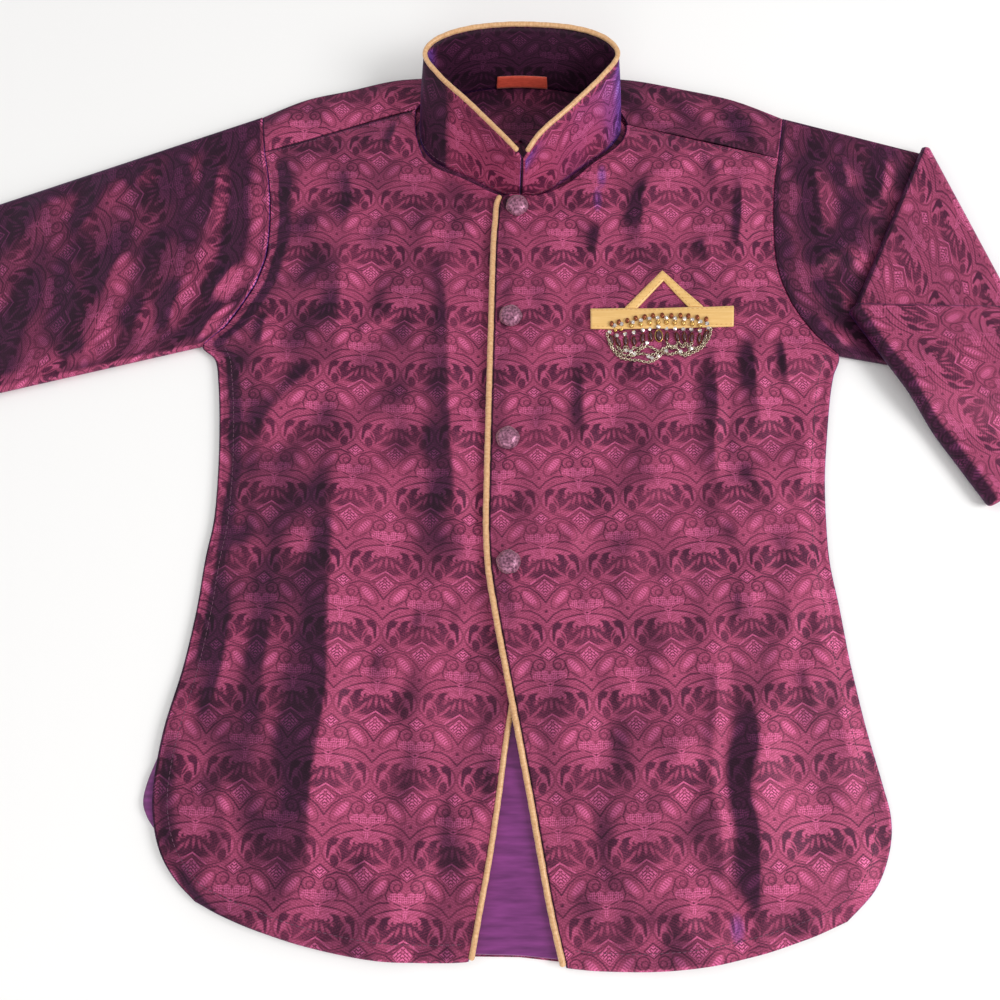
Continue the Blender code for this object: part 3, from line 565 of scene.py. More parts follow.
def soft_patch(x, y, at_x, at_y, reach_x, reach_y, strength):
    """A round patch that is strongest at its middle and fades away."""
    return strength * np.exp(-((x - at_x) / reach_x) ** 2 - ((y - at_y) / reach_y) ** 2)


def make_front(name, rows, table, overlaps, lean, star, seed):
    """A front panel: (object, its top grid)."""
    places = np.linspace(0, len(rows) - 1, (len(rows) - 1) * FRONT_STEPS + 1)
    smoothed = curve_through(rows, places)
    share = np.linspace(0, 1, FRONT_ACROSS + 1)[None, :]
    side_x, side_y, edge_x, edge_y, bow = (smoothed[:, column][:, None] for column in range(5))
    x = mix(side_x, edge_x, share)
    y = mix(side_y, edge_y, share) - sag(bow, share)
    wide = np.abs(edge_x - side_x)
    under = front_under(x, y, wide, share, table, overlaps, seed)
    from_seam = np.hypot(side_x - side_x[0], side_y - side_y[0])
    under = mix(FRONT_FLOOR, under, smooth(from_seam / FLAT_TOP_FADE))
    top = np.stack([x, y, under + FRONT_WALL], -1)
    low = np.stack([x, y, under], -1)
    from_edge = (1 - share) * wide
    # Painted highlight on the side seam and neck rims, painted shadow on the stiff band of the left front.
    seam = (1 - smooth((share * wide - SEAM_START) / SEAM_WIDE)) * smooth((y - SLIT_TOP) / SLIT_EASE)
    neck = 1 - smooth((from_edge - SEAM_START) / SEAM_WIDE)
    band = 0.0
    if overlaps:
        band = BAND_PAINTED_SHADE * (1 - smooth((from_edge - BAND_WIDE) / BAND_WIDE))
        band = band * smooth((y - OVERLAP_LOW) / BAND_CLIMB)
    turned = SEAM_PAINTED_HIGHLIGHT * seam + mix(SEAM_PAINTED_HIGHLIGHT * neck, band, smooth((NECK_LOW - y) / NECK_STEP))
    # Painted light over the whole left front, a patch of painted shade and painted glints.
    if overlaps:
        turned = turned + LEFT_PAINTED_LIGHT - soft_patch(x, y, *PAINTED_SHADE_PATCH)
        for glint in PAINTED_GLINTS:
            turned = np.maximum(turned, soft_patch(x, y, *glint))
    made = shell(name, top, low, grain_of(top, lean, star), rim=0.5, turned=turned)
    return made, top


print("points across a front:", FRONT_ACROSS + 1)

# %% folds of the fronts
# A row is the slope on the right, the slope on the left, the height and the points of the crest.
FOLDS_RIGHT = [
    (34, 22, 2.6, -105, 134, -105, 98, -106, 59), (15, 20, 2.6, -107, 57, -126, 42, -141, 23, -151, 3),
    (62, 46, 6, -109, 31, -105, -11, -103, -51, -103, -90, -104, -137, -108, -187, -108, -259),
    (16, 12, 1.6, -106, -11, -103, -62, -103, -137, -108, -187, -108, -258),
    (18, 15, 2.4, -51, 136, -42, 84, -40, 30, -37, -11, -32, -68),
    (9, 14, 1.5, -97, 71, -82, 79, -69, 90), (20, 24, -1.6, -45, 11, -68, 7, -93, 3),
    (26, 26, -1.6, -68, -24, -66, -61), (18, 15, 2, -36, -206, -48, -229, -64, -235, -65, -259),
    (9, 9, 1.6, -75, 228, -76, 204, -82, 187), (16, 14, 1.4, -109, 181, -101, 164, -104, 131),
    (8, 10, 1, -156, 174, -153, 131, -154, 92), (8, 9, 1.2, -148, 86, -149, 61),
    (8, 12, 1, -173, -54, -143, -51, -102, -54), (10, 12, 0.9, -80, -114, -63, -129),
    (10, 14, 0.8, -91, -133, -64, -132), (14, 12, 0.9, -60, -95, -38, -98), (8, 7, 0.8, -29, 21, -22, 0),
    (12, 14, 1.3, -159, -62, -159, -116, -173, -157), (13, 14, 0.8, -133, -84, -137, -132, -131, -168),
    (14, 14, 0.9, -157, -173, -147, -226), (10, 14, 0.8, -84, -216, -69, -226),
    (12, 16, 1, -95, -95, -95, -168, -87, -207),
]
FOLDS_LEFT = [
    (12, 18, 1.6, 36, 59, 36, 30, 39, -9), (13, 16, 1.8, 30, -37, 27, -62),
    (14, 7, 1.9, 112, 69, 113, 30, 110, 6, 110, -23), (11, 16, 2.2, 134, 73, 135, 42, 138, 6),
    (7, 9, 1.3, 152, 72, 154, 36), (12, 9, 1.8, 122, -7, 133, -18, 150, -35),
    (14, 10, 1.7, 111, -41, 126, -52, 141, -66),
    (17, 10, 1.6, 105, -86, 103, -137, 98, -173, 102, -202, 100, -238),
    (15, 44, 4.2, 122, -125, 123, -157, 116, -180, 120, -202, 119, -235, 119, -261),
    (26, 22, 2.2, 41, -156, 69, -162, 96, -171), (18, 16, 1.8, 19, -198, 37, -202, 39, -231),
    (13, 24, 2.6, 83, 205, 75, 164, 73, 124), (6, 9, 1, 135, 176, 133, 147, 129, 119),
    (6, 8, 1.1, 156, 194, 154, 157, 159, 98), (8, 10, 0.9, 111, 194, 124, 171),
    (8, 12, 1.2, 52, 157, 44, 116), (14, 14, 1.1, 46, -58, 76, -58, 86, -79),
    (12, 12, 1.2, 23, -132, 26, -160), (14, 12, 1.3, 145, -82, 146, -106),
    (12, 12, 1.3, 58, -247, 91, -246), (9, 12, 0.6, 115, -84, 129, -84), (8, 8, 1.3, 161, -51, 165, -79),
    (10, 10, 1, 148, -119, 157, -140), (7, 8, 0.9, 108, 133, 114, 116), (14, 12, 1.2, 94, -17, 50, -22),
    (10, 12, 0.9, 42, -96, 26, -106), (10, 12, 0.8, 62, -132, 47, -137),
]
print("folds:", len(FOLDS_RIGHT), "right and", len(FOLDS_LEFT), "left")

# %% both fronts
front_right, right_top = make_front("front_right_cloth", FRONT_RIGHT_ROWS, FOLDS_RIGHT,
                                    False, -2.5, (-95.8, -73.4), 11)
front_left, left_top = make_front("front_left_cloth", FRONT_LEFT_ROWS, FOLDS_LEFT,
                                  True, 2.5, (58.3, -110.9), 12)
print("front areas, m2:", round(cloth_area(right_top), 4), round(cloth_area(left_top), 4))

# %% [markdown]
# Everything sewn on a front has to follow its folds, so its height is read with a ray from above.

# %% heights


def height_reader(top):
    """A function that gives the height of a grid's surface at plan points, in mm."""
    rows, columns = top.shape[:2]
    quads = [(at, at + 1, at + columns + 1, at + columns)
             for row in range(rows - 1) for at in range(row * columns, (row + 1) * columns - 1)]
    finder = BVHTree.FromPolygons(top.reshape(-1, 3).tolist(), quads)
    usual = float(np.median(top[..., 2]))

    def read(x, y, missing=usual):
        hit = finder.ray_cast(Vector((x, y, 500.0)), Vector((0, 0, -1)))[0]
        return hit.z if hit else missing

    return read


left_height = height_reader(left_top)
right_height = height_reader(right_top)
print("height of the left front at the pocket, mm:", round(left_height(80, 70), 1))

# %% [markdown]
# ## Yokes
# The yoke is folded over the shoulder, so it is one strip seen from both sides: out from the front
# seam, round the fold in a half circle, and back under the coat.

# %% yokes
# One row for each line from the armhole to the neck.
YOKE_RIGHT_ROWS = [
    # seam_x, seam_y, middle_x, middle_y, fold_x, fold_y, back_x, back_y
    (-155.4, 192.3, -156.5, 204, -158.2, 216.8, -155.5, 197),
    (-134, 199.4, -133.2, 214, -132, 229, -131.5, 204.5),
    (-107, 208.5, -106.2, 222, -105, 235.8, -105, 211.6),
    (-82, 217.2, -79.5, 230, -75, 243.3, -73, 220.2),
    (-64, 222, -56.8, 229.5, -40.3, 245, -40.3, 226.5),
]
YOKE_LEFT_ROWS = [
    # seam_x, seam_y, middle_x, middle_y, fold_x, fold_y, back_x, back_y
    (158.3, 187.8, 160.5, 202, 163.2, 215.8, 159, 196),
    (134, 194.8, 134.2, 211.5, 133.6, 228.8, 133, 204),
    (110, 201, 106.5, 218.5, 101, 237, 101, 212.5),
    (86, 206.6, 80.5, 223.5, 71, 243.2, 71, 220.2),
    (67.2, 211.4, 59.6, 227, 42.3, 245, 42.3, 226.5),
]
YOKE_LINES = 81
YOKE_TOP_POINTS = 25
YOKE_TURN_STEPS = 12
YOKE_LOW_POINTS = 7
YOKE_PUFF = 1.4
YOKE_WAVE = 0.5


def make_yoke(name, rows, seed, turned):
    """A strip folded over the shoulder, from the front seam round to the back."""
    turn = (FRONT_FLOOR + FRONT_WALL) / 2
    outer = []
    inner = []
    grain = []
    smoothed = curve_through(rows, np.linspace(0, len(rows) - 1, YOKE_LINES))
    for seam_x, seam_y, middle_x, middle_y, fold_x, fold_y, back_x, back_y in smoothed:
        seam, middle = Vector((seam_x, seam_y)), Vector((middle_x, middle_y))
        fold, back = Vector((fold_x, fold_y)), Vector((back_x, back_y))
        top_end = fold + (middle - fold).normalized() * turn
        low_end = fold + (back - fold).normalized() * turn
        out_line = []
        in_line = []
        for share in np.linspace(0, 1, YOKE_TOP_POINTS):
            bend = seam * (1 - share) ** 2 + middle * 2 * share * (1 - share) + top_end * share ** 2
            rise = YOKE_PUFF * sin(pi * share)
            rise += YOKE_WAVE * sin(pi * share) * sin(seam_x * 0.21 + seed + share * 2)
            out_line.append((*bend, 2 * turn + rise))
            in_line.append((*bend, 2 * turn - FRONT_WALL + rise))
        for step in range(1, YOKE_TURN_STEPS):
            angle = pi * step / YOKE_TURN_STEPS
            centre = top_end.lerp(low_end, step / YOKE_TURN_STEPS)
            outward = (fold - centre).normalized()
            for line, reach in ((out_line, turn), (in_line, turn - BACK_WALL)):
                flat = centre + outward * reach * sin(angle)
                line.append((*flat, turn + reach * cos(angle)))
        for share in np.linspace(0, 1, YOKE_LOW_POINTS):
            flat = low_end.lerp(back, share)
            out_line.append((*flat, 0.0))
            in_line.append((*flat, BACK_WALL))
        outer.append(out_line)
        inner.append(in_line)
        grain.append([(seam_x, seam_y + reach) for reach in length_gone(out_line)])
    return shell(name, outer, inner, grain, rim=0.4, turned=turned)


# The last value is painted light on the right yoke and painted shade on the left one.
yoke_right = make_yoke("yoke_right_cloth", YOKE_RIGHT_ROWS, 0.4, 0.15)
yoke_left = make_yoke("yoke_left_cloth", YOKE_LEFT_ROWS, 1.9, -0.25)
print("yoke faces:", len(yoke_right.data.polygons), len(yoke_left.data.polygons))

# %% [markdown]
# ## Sleeves
# A sleeve is a flat tube with rounded edges. Its sections run from the armhole seam to the cuff, and
# only its upper side carries folds, because its lower side is pressed flat by its own weight.

# %% section of a sleeve
SLEEVE_WALL = 1.2
ARMHOLE_GAP = 0.45
SLEEVE_THICK = 5
UNDERARM_REACH = 180
TOP_SIDES = 72
ROUND_SIDES = 9


def armhole_line(yoke_rows, front_rows, outward):
    """Armhole seam on the sleeve's side of the gap, from the shoulder fold to the underarm point."""
    body = [yoke_rows[0][4:6]]
    for row in front_rows:
        body.append(row[:2])
        if outward * row[0] > UNDERARM_REACH:
            break
    return [(x + outward * ARMHOLE_GAP, y - ARMHOLE_GAP * 0.2) for x, y in body]


def tube_section(low, high, wide):
    """A flat tube's section: rows of (share across, outer height, inner share, inner height, way round)."""
    half = (high - low) / 2
    inset = half / wide
    reach = half - SLEEVE_WALL
    middle = low + half
    section = []
    for side, height, first, last in ((1, high, inset, 1 - inset), (-1, low, 1 - inset, inset)):
        for share in np.linspace(first, last, TOP_SIDES + 1):
            section.append((share, height, share, height - side * SLEEVE_WALL, side))
        start = 0 if side > 0 else pi
        for angle in np.linspace(start, pi - start, ROUND_SIDES + 2)[1:-1]:
            out = side * sin(angle)
            section.append((last + out * half / wide, middle + half * cos(angle),
                            last + out * reach / wide, middle + reach * cos(angle), 0))
    return np.array(section)


def round_grain(outer, run):
    """Grain map of a tube: the way round it, and the run along it, with one column more than the points."""
    outer = np.asarray(outer)
    closed = np.concatenate([outer, outer[:, :1]], axis=1)
    steps = np.linalg.norm(np.diff(closed[:, :, :2], axis=1), axis=2)
    rises = np.abs(np.diff(closed[:, :, 2], axis=1))
    mean = np.hypot(steps, np.minimum(rises, 2.0)).mean(axis=0)
    across = np.concatenate([[0], np.cumsum(mean)])
    return np.stack(np.broadcast_arrays(across[None, :], run[:, None]), -1)


print("points round a sleeve:", len(tube_section(0, SLEEVE_THICK, 100)))

# %% right sleeve
CUFF_RIGHT = ((-485, 90), (-456, -3))
SLEEVE_TOP_WIDE = 152
SLEEVE_PUFF = 2.4
PUFF_LEAST = 0.2
PUFF_START = 0.02
PUFF_STRETCH = 1.15
PUFF_POWER = 0.7
HEAD_FADE = 0.06
BORDER_FADE = 0.1
SLEEVE_LOFT = 0.8
SLEEVE_WAVES = 1.1
# Painted shade on the sleeve: all along it, and more beside the armhole seam.
SLEEVE_PAINTED_SHADE = -0.42
SEAM_SHADE = 0.25
SEAM_SHADE_FROM = 8
SEAM_SHADE_WIDE = 26
SLEEVE_LENGTH = dist((-172, 140), (-470, 44))
SLEEVE_SECTIONS = 150
FOLDS_SLEEVE = [
    (24, 5, 5, -158, 209, -155, 157, -156, 116, -163, 92), (9, 12, 3.2, -167, 116, -180, 97, -184, 92),
    (7, 7, 2.6, -165, 92, -178, 82, -187, 68), (5, 7, 1.6, -170, 81, -182, 73, -187, 64),
    (14, 14, 1.6, -220, 133, -204, 127, -176, 123), (14, 12, 2, -194, 107, -203, 86, -204, 69),
    (9, 9, 1.3, -183, 186, -183, 154, -187, 134), (10, 9, 1, -204, 191, -195, 164),
    (12, 12, 1.5, -248, 167, -258, 147, -266, 131), (13, 13, 1.4, -231, 124, -240, 112, -243, 92),
    (13, 13, 1.2, -270, 124, -261, 98, -244, 79), (12, 12, 1.1, -224, 179, -236, 168),
    (12, 12, 1.4, -245, 64, -265, 54), (13, 12, 1.2, -216, 92, -227, 73),
]


def make_sleeve_right():
    """Flat tube from the armhole to the cuff, on the table: (object, its outer points)."""
    armhole = armhole_line(YOKE_RIGHT_ROWS, FRONT_RIGHT_ROWS, -1)
    sides = ([], [])
    gone = np.linspace(0, 1, SLEEVE_SECTIONS)
    for share_out in gone:
        wide = mix(SLEEVE_TOP_WIDE, dist(*CUFF_RIGHT), share_out)
        stretched = min(1.0, share_out * PUFF_STRETCH + PUFF_START)
        puff = SLEEVE_PUFF * sin(pi * stretched) + PUFF_LEAST
        section = tube_section(0.0, SLEEVE_THICK, wide)
        for at, rings in zip((0, 2), sides):
            share = np.clip(section[:, at], 0, 1)
            plan = mix(along(armhole, share), along(CUFF_RIGHT, share), share_out)
            body = puff * np.abs(np.sin(pi * share)) ** PUFF_POWER
            fade = smooth(share_out / HEAD_FADE) * smooth(share / BORDER_FADE)
            fade = fade * smooth((1 - share) / BORDER_FADE)
            x, y = plan[:, 0], plan[:, 1]
            lift = body + fade * (folds(x, y, FOLDS_SLEEVE) + SLEEVE_LOFT + waves(x, y, 21, SLEEVE_WAVES))
            lift = np.where(section[:, 4] > 0.5, lift, 0.0)
            rings.append(np.column_stack([plan, section[:, at + 1] + lift]))
    outer, inner = np.array(sides[0]), np.array(sides[1])
    run = gone * SLEEVE_LENGTH
    beside = 1 - smooth((run[:, None] - SEAM_SHADE_FROM) / SEAM_SHADE_WIDE)
    shade = SLEEVE_PAINTED_SHADE - SEAM_SHADE * beside
    shade = np.broadcast_to(shade, outer.shape[:2])
    return shell("sleeve_right_cloth", outer, inner, round_grain(outer, -run), 0.4, True, shade), outer


sleeve_right, sleeve_right_skin = make_sleeve_right()
print("right sleeve, faces:", len(sleeve_right.data.polygons))

# %% [markdown]
# The left sleeve is folded twice: from the armhole out to the first fold, back over itself to the
# second one, and out again to the cuff. Each layer rests on the ones below it. Past the edge of the
# cloth below, a layer stays up for a short way and then settles onto what is under it.

# %% where a layer rests
LAYER_PITCH = SLEEVE_THICK + 1
FOLD_ONE = ((245, 191.5), (302, 36))
FOLD_TWO = ((194.4, 86), (265, -29.5))
CUFF_LEFT = ((350, 83), (346, -14))
UNDERARM_LEFT = (184.8, 59)
UPPER_LOW_EDGE = (FOLD_ONE[1], UNDERARM_LEFT)
MIDDLE_LOW_EDGE = (FOLD_TWO[1], FOLD_ONE[1])
SETTLE = 28
ROLL_CLEAR = 14
EDGE_CLEAR = 10


def beyond(x, y, line):
    """Distance of points past a line, on its left-hand side as seen from its first point."""
    (ax, ay), (bx, by) = line
    return ((bx - ax) * (y - ay) - (by - ay) * (x - ax)) / dist(*line)


def resting(x, y, past_low):
    """1 on the cloth below a layer, fading to 0 past its fold and past its low edge."""
    past_fold = beyond(x, y, FOLD_ONE) - ROLL_CLEAR
    return smooth(1 - past_fold / SETTLE) * smooth(1 - (past_low - EDGE_CLEAR) / SETTLE)


def fold_normal(line):
    """Unit vector square to a fold line, on its right-hand side as seen from its first point."""
    (ax, ay), (bx, by) = line
    length = dist(*line)
    return np.array(((by - ay) / length, -(bx - ax) / length))


print("first fold, mm long:", round(dist(*FOLD_ONE), 1))

# %% left sleeve
SPANS = 44
LAST_SPANS = 56
ROLL_STEPS = 14
# Painted light on the layers folded over.
FOLDED_PAINTED_LIGHT = 0.15
UPPER_HEAD_FADE = 0.1
UPPER_END_FADE = 0.15
UPPER_WAVES = 0.8
UPPER_LOWEST = -0.4
FOLDS_UPPER = [
    (10, 14, 2, 175, 191, 180, 164, 180, 131), (10, 10, 1.2, 194, 184, 201, 167),
    (10, 9, 1.6, 223, 191, 220, 167, 210, 160), (10, 8, 1.3, 196, 153, 216, 152),
    (13, 9, 3.4, 169, 116, 190, 124, 206, 112), (8, 8, 2, 173, 102, 187, 98, 188, 84),
    (10, 9, 2, 167, 81, 191, 63),
]


def folded_sections():
    """Sections of the folded sleeve: (first line, last line, share between, layer, share turned over)."""
    armhole = armhole_line(YOKE_LEFT_ROWS, FRONT_LEFT_ROWS, 1)
    made = []
    for layer, (first, last, spans) in enumerate(((armhole, FOLD_ONE, SPANS), (FOLD_ONE, FOLD_TWO, SPANS),
                                                  (FOLD_TWO, CUFF_LEFT, LAST_SPANS))):
        made += [(first, last, share, layer, 0.0) for share in np.linspace(0, 1, spans)]
        if layer < 2:
            made += [(last, last, 0.0, layer, step / ROLL_STEPS) for step in range(1, ROLL_STEPS)]
    return made


def make_sleeve_left():
    """Flat tube folded twice. Each layer rests on those below it: (object, its outer points)."""
    half = SLEEVE_THICK / 2
    outs = (-fold_normal(FOLD_ONE), fold_normal(FOLD_TWO), fold_normal(FOLD_TWO))
    sides = ([], [])
    shade = []
    for first_line, last_line, share_out, layer, turned_over in folded_sections():
        first_ends = along(first_line, np.array([0.0, 1.0]))
        last_ends = along(last_line, np.array([0.0, 1.0]))
        ends = mix(first_ends, last_ends, share_out)
        section = tube_section(-half, half, dist(ends[0], ends[1]))
        angle = pi * turned_over
        facing_up = 1.0 if layer != 1 else -1.0
        climb = (1 - cos(angle)) / 2
        for at, rings in zip((0, 2), sides):
            share, across = np.clip(section[:, at], 0, 1), section[:, at + 1]
            plan = mix(along(first_line, share), along(last_line, share), share_out)
            x, y = plan[:, 0], plan[:, 1]
            reach = (LAYER_PITCH / 2 - facing_up * across) * sin(angle)
            over_upper = resting(x, y, beyond(x, y, UPPER_LOW_EDGE)) * (climb, 1.0, 1.0)[layer]
            over_middle = resting(x, y, -beyond(x, y, MIDDLE_LOW_EDGE)) * (0.0, climb, 1.0)[layer]
            flip = cos(angle) * facing_up
            z = half + LAYER_PITCH * (over_upper + over_middle) + across * flip
            if layer == 0 and turned_over == 0:
                fade = smooth(share_out / UPPER_HEAD_FADE) * smooth((1 - share_out) / UPPER_END_FADE)
                fade = fade * smooth(share / BORDER_FADE) * smooth((1 - share) / BORDER_FADE)
                lift = fade * (folds(x, y, FOLDS_UPPER) + waves(x, y, 22, UPPER_WAVES))
                z = z + np.where(section[:, 4] > 0.5, np.maximum(lift, UPPER_LOWEST), 0.0)
            rings.append(np.column_stack([plan + outs[layer] * reach[:, None], z]))
        # Painted shade on the unfolded sleeve, painted light on the layers folded over.
        shade.append(mix(SLEEVE_PAINTED_SHADE, FOLDED_PAINTED_LIGHT, climb if layer == 0 else 1.0))
    outer, inner = np.array(sides[0]), np.array(sides[1])
    run = length_gone(outer.mean(axis=1))
    shade = np.repeat(np.array(shade)[:, None], outer.shape[1], axis=1)
    return shell("sleeve_left_cloth", outer, inner, round_grain(outer, -run), 0.4, True, shade), outer


sleeve_left, sleeve_left_skin = make_sleeve_left()
print("left sleeve, faces:", len(sleeve_left.data.polygons))

# %% [markdown]
# ## Collar and piping
# The band collar is built level by level round the neck. It leans back and meets at the front. Its
# top edge and both front edges are piped: a cord covered in satin is sewn between the layers, and it
# turns a cut edge into a clean round one.

# %% collar
# One row for each post round the neck, from the right end to the left end.
COLLAR_ROWS = [
    # base_x, base_y, top_x, top_y, top_z
    (0.2, 161.4, 0.2, 167, 33.5), (-11.8, 164.2, -6.5, 174, 36.6), (-31.4, 175.2, -28.5, 197, 38.8),
    (-52.8, 186.8, -47.5, 217, 38.6), (-60.8, 202.4, -56.5, 232, 38.4), (-56.8, 221.6, -49, 244, 38),
    (-36.5, 235, -28, 252, 37.8), (1, 240, 1, 254.5, 37.8), (38.5, 235, 31.5, 252, 37.8),
    (57, 222.4, 51, 244.5, 38), (63.2, 208.4, 58.5, 232, 38.4), (56, 195.4, 49, 217, 38.6),
    (41.8, 184, 30.5, 197, 38.8), (17.2, 164.8, 12.5, 180, 37.2), (1.9, 161.4, 2.9, 167, 33.5),
]
COLLAR_FLOOR = FRONT_FLOOR
COLLAR_WALL = 2
COLLAR_MEET = 1
COLLAR_APART = 0.4
COLLAR_SWELL = 0.5
COLLAR_ROUND = 225
COLLAR_RINGS = 17
COLLAR_CUT_HIGH = 45
COLLAR_INSIDE_PAINTED_SHADE = -3.2
# Painted shade at the wearer's right of the stand and inside it, and a little painted light on its front.
COLLAR_PAINTED_SHADING_X = (-50, -47, -44, -38, 20, 34, 44)
COLLAR_PAINTED_SHADING = (-1.25, -1.05, -0.35, 0.45, 0.35, 0, 0)


def collar_ring(rows, depth, level):
    """Points round the collar at a share of its height, moved inwards by a depth."""
    rows = np.asarray(rows)
    line = mix(rows[:, 0:2], rows[:, 2:4], level)
    tangent = np.gradient(line, axis=0)
    tangent /= np.linalg.norm(tangent, axis=1)[:, None]
    inward = np.column_stack([tangent[:, 1], -tangent[:, 0]])
    place = line + inward * depth
    count = len(rows)
    near = max(3, count // (len(COLLAR_ROWS) - 1))
    place[:near, 0] = np.minimum(place[:near, 0], COLLAR_MEET - COLLAR_APART)
    place[-near:, 0] = np.maximum(place[-near:, 0], COLLAR_MEET + COLLAR_APART)
    height = mix(COLLAR_FLOOR, rows[:, 4], level)
    return np.column_stack([place, height])


def collar_skin(depth):
    """Rings of the collar from its foot to its top, at a depth from its outside."""
    return np.array([collar_ring(COLLAR_FINE, depth - COLLAR_SWELL * sin(pi * level), level)
                     for level in collar_levels])


COLLAR_FINE = curve_through(COLLAR_ROWS, np.linspace(0, len(COLLAR_ROWS) - 1, COLLAR_ROUND))
collar_levels = np.linspace(0, 1, COLLAR_RINGS)
collar_outer = collar_skin(0.0)
round_gone = length_gone(collar_outer[COLLAR_RINGS // 2])
collar_grain = np.array([[(gone - round_gone[-1] / 2, COLLAR_CUT_HIGH * level) for gone in round_gone]
                         for level in collar_levels])
collar_painted_shading = np.interp(collar_outer[:, :, 0], COLLAR_PAINTED_SHADING_X, COLLAR_PAINTED_SHADING)
collar = shell("collar_cloth", collar_outer, collar_skin(COLLAR_WALL), collar_grain, rim=0.3,
               turned=(collar_painted_shading, COLLAR_INSIDE_PAINTED_SHADE))
print("collar round the neck, mm:", round(round_gone[-1]))

# %% solids from rings


def closed_rings(name, rings, tips, grain=None):
    """A closed solid from rings of points with a tip at each end, and the grain between its rings."""
    sides = len(rings[0])
    last = (len(rings) - 1) * sides
    faces = [(row + column, row + sides + column,
              row + sides + (column + 1) % sides, row + (column + 1) % sides)
             for row in range(0, last, sides) for column in range(sides)]
    for column in range(sides):
        following = (column + 1) % sides
        faces += [(last + sides, column, following), (last + sides + 1, last + following, last + column)]
    if grain:
        grain = grain + [[(0, 0)] * 3] * (2 * sides)
    return new_object(name, np.concatenate([*rings, tips]), faces, grain)


print("a ring solid needs a tip at each of its ends")

# %% cords
CORD_END = 0.22
CORD_TIP = 0.3
CORD_NARROW = 0.6
WRINKLE_LENGTH = 2.3
# Wrinkles of the satin: how fast each runs along the cord, how it winds round it, its strength.
WRINKLES = [(2.0, 2, 1.0), (1.27, -1, 0.7), (0.43, 3, 0.6)]


def cord(name, route, wide, sides, pinch, seed):
    """A round covered cord along a route, with closed rounded ends. pinch adds small satin wrinkles."""
    route = np.asarray(route, float)
    phase = np.random.default_rng(seed).uniform(0, 6.28, 4)
    tangent = np.gradient(route, axis=0)
    tangent /= np.linalg.norm(tangent, axis=1)[:, None]
    side = np.cross(tangent, np.array([0, 0, 1.0]))
    side /= np.maximum(np.linalg.norm(side, axis=1), 1e-9)[:, None]
    up = np.cross(side, tangent)
    gone = length_gone(route)
    angles = np.linspace(0, 2 * pi, sides, endpoint=False)
    rings = []
    for at, spot in enumerate(route):
        slant = gone[at] / WRINKLE_LENGTH
        ripple = sum(strength * np.sin(slant * rate + angles * winds + shift)
                     for (rate, winds, strength), shift in zip(WRINKLES, phase))
        size = wide / 2 * (1 + pinch * ripple)
        rings.append(spot + side[at] * (np.cos(angles) * size)[:, None]
                     + up[at] * (np.sin(angles) * size)[:, None])
    tips = []
    for end, way, ring in ((0, -1, rings[0]), (-1, 1, rings[-1])):
        narrow = route[end] + way * tangent[end] * wide * CORD_END + (ring - route[end]) * CORD_NARROW
        rings.insert(0 if way < 0 else len(rings), narrow)
        tips.append(route[end] + way * tangent[end] * wide * CORD_TIP)
    grain = []
    girth = pi * wide
    for row in range(len(rings) - 1):
        low, high = (gone[min(max(at, 0), len(gone) - 1)] for at in (row - 1, row))
        for column in range(sides):
            around, around_next = girth * column / sides, girth * (column + 1) / sides
            grain.append([(around, low), (around, high), (around_next, high), (around_next, low)])
    return closed_rings(name, rings, tips, grain)


print("a cord's tip, shares of its width past its end:", CORD_TIP)

# %% piping of the collar
COLLAR_PIPING = 4
FRONT_OF_NECK = 190
COLLAR_CORD = COLLAR_PIPING * 0.72
RIM_LIFT = COLLAR_PIPING / 2 + 0.1
rim_line = collar_ring(COLLAR_FINE, COLLAR_WALL / 2, 1.0)
rim_skin = collar_ring(COLLAR_FINE, 0.0, 1.0)
rim_route = []
for at in range(2, len(rim_line) - 2):
    if rim_line[at][1] < FRONT_OF_NECK and abs(rim_line[at][0] - COLLAR_MEET) < COLLAR_PIPING * 0.8:
        continue
    up = np.cross(rim_line[at + 1] - rim_line[at - 1], rim_skin[at] - rim_line[at])
    up /= np.linalg.norm(up)
    if up[2] < 0:
        up = -up
    rim_route.append(rim_line[at] + up * RIM_LIFT)
collar_piping = cord("collar_piping_satin", rim_route, COLLAR_CORD, 20, 0.035, 3)
print("points along the collar's piping:", len(rim_route))

# %% piping of the front edges
PIPING_STEP = 1.1
PIPING_SMOOTH = 9


def edge_piping(name, top, rows_skip, wide, outward, seed):
    """Piping beside a front edge, its underside level with the panel's."""
    edge = top[rows_skip:, -1]
    gone = length_gone(edge)
    even = np.linspace(0, gone[-1], int(gone[-1] / PIPING_STEP))
    route = np.stack([np.interp(even, gone, edge[:, axis]) for axis in range(3)], -1)
    kernel = np.ones(PIPING_SMOOTH) / PIPING_SMOOTH
    ends = PIPING_SMOOTH // 2
    for axis in range(3):
        route[:, axis] = np.convolve(np.pad(route[:, axis], ends, mode="edge"), kernel, mode="valid")
    route[:, 0] += outward * (wide / 2 + 0.1)
    route[:, 2] += wide / 2 - FRONT_WALL
    return cord(name, route, wide, 16, 0.03, seed)


front_right_piping = edge_piping("front_right_piping_satin", right_top, 5 * FRONT_STEPS, RIGHT_PIPING, 1, 5)
front_left_piping = edge_piping("front_left_piping_satin", left_top, 6 * FRONT_STEPS, LEFT_PIPING, -1, 6)
print("piping faces:", len(front_right_piping.data.polygons), len(front_left_piping.data.polygons))

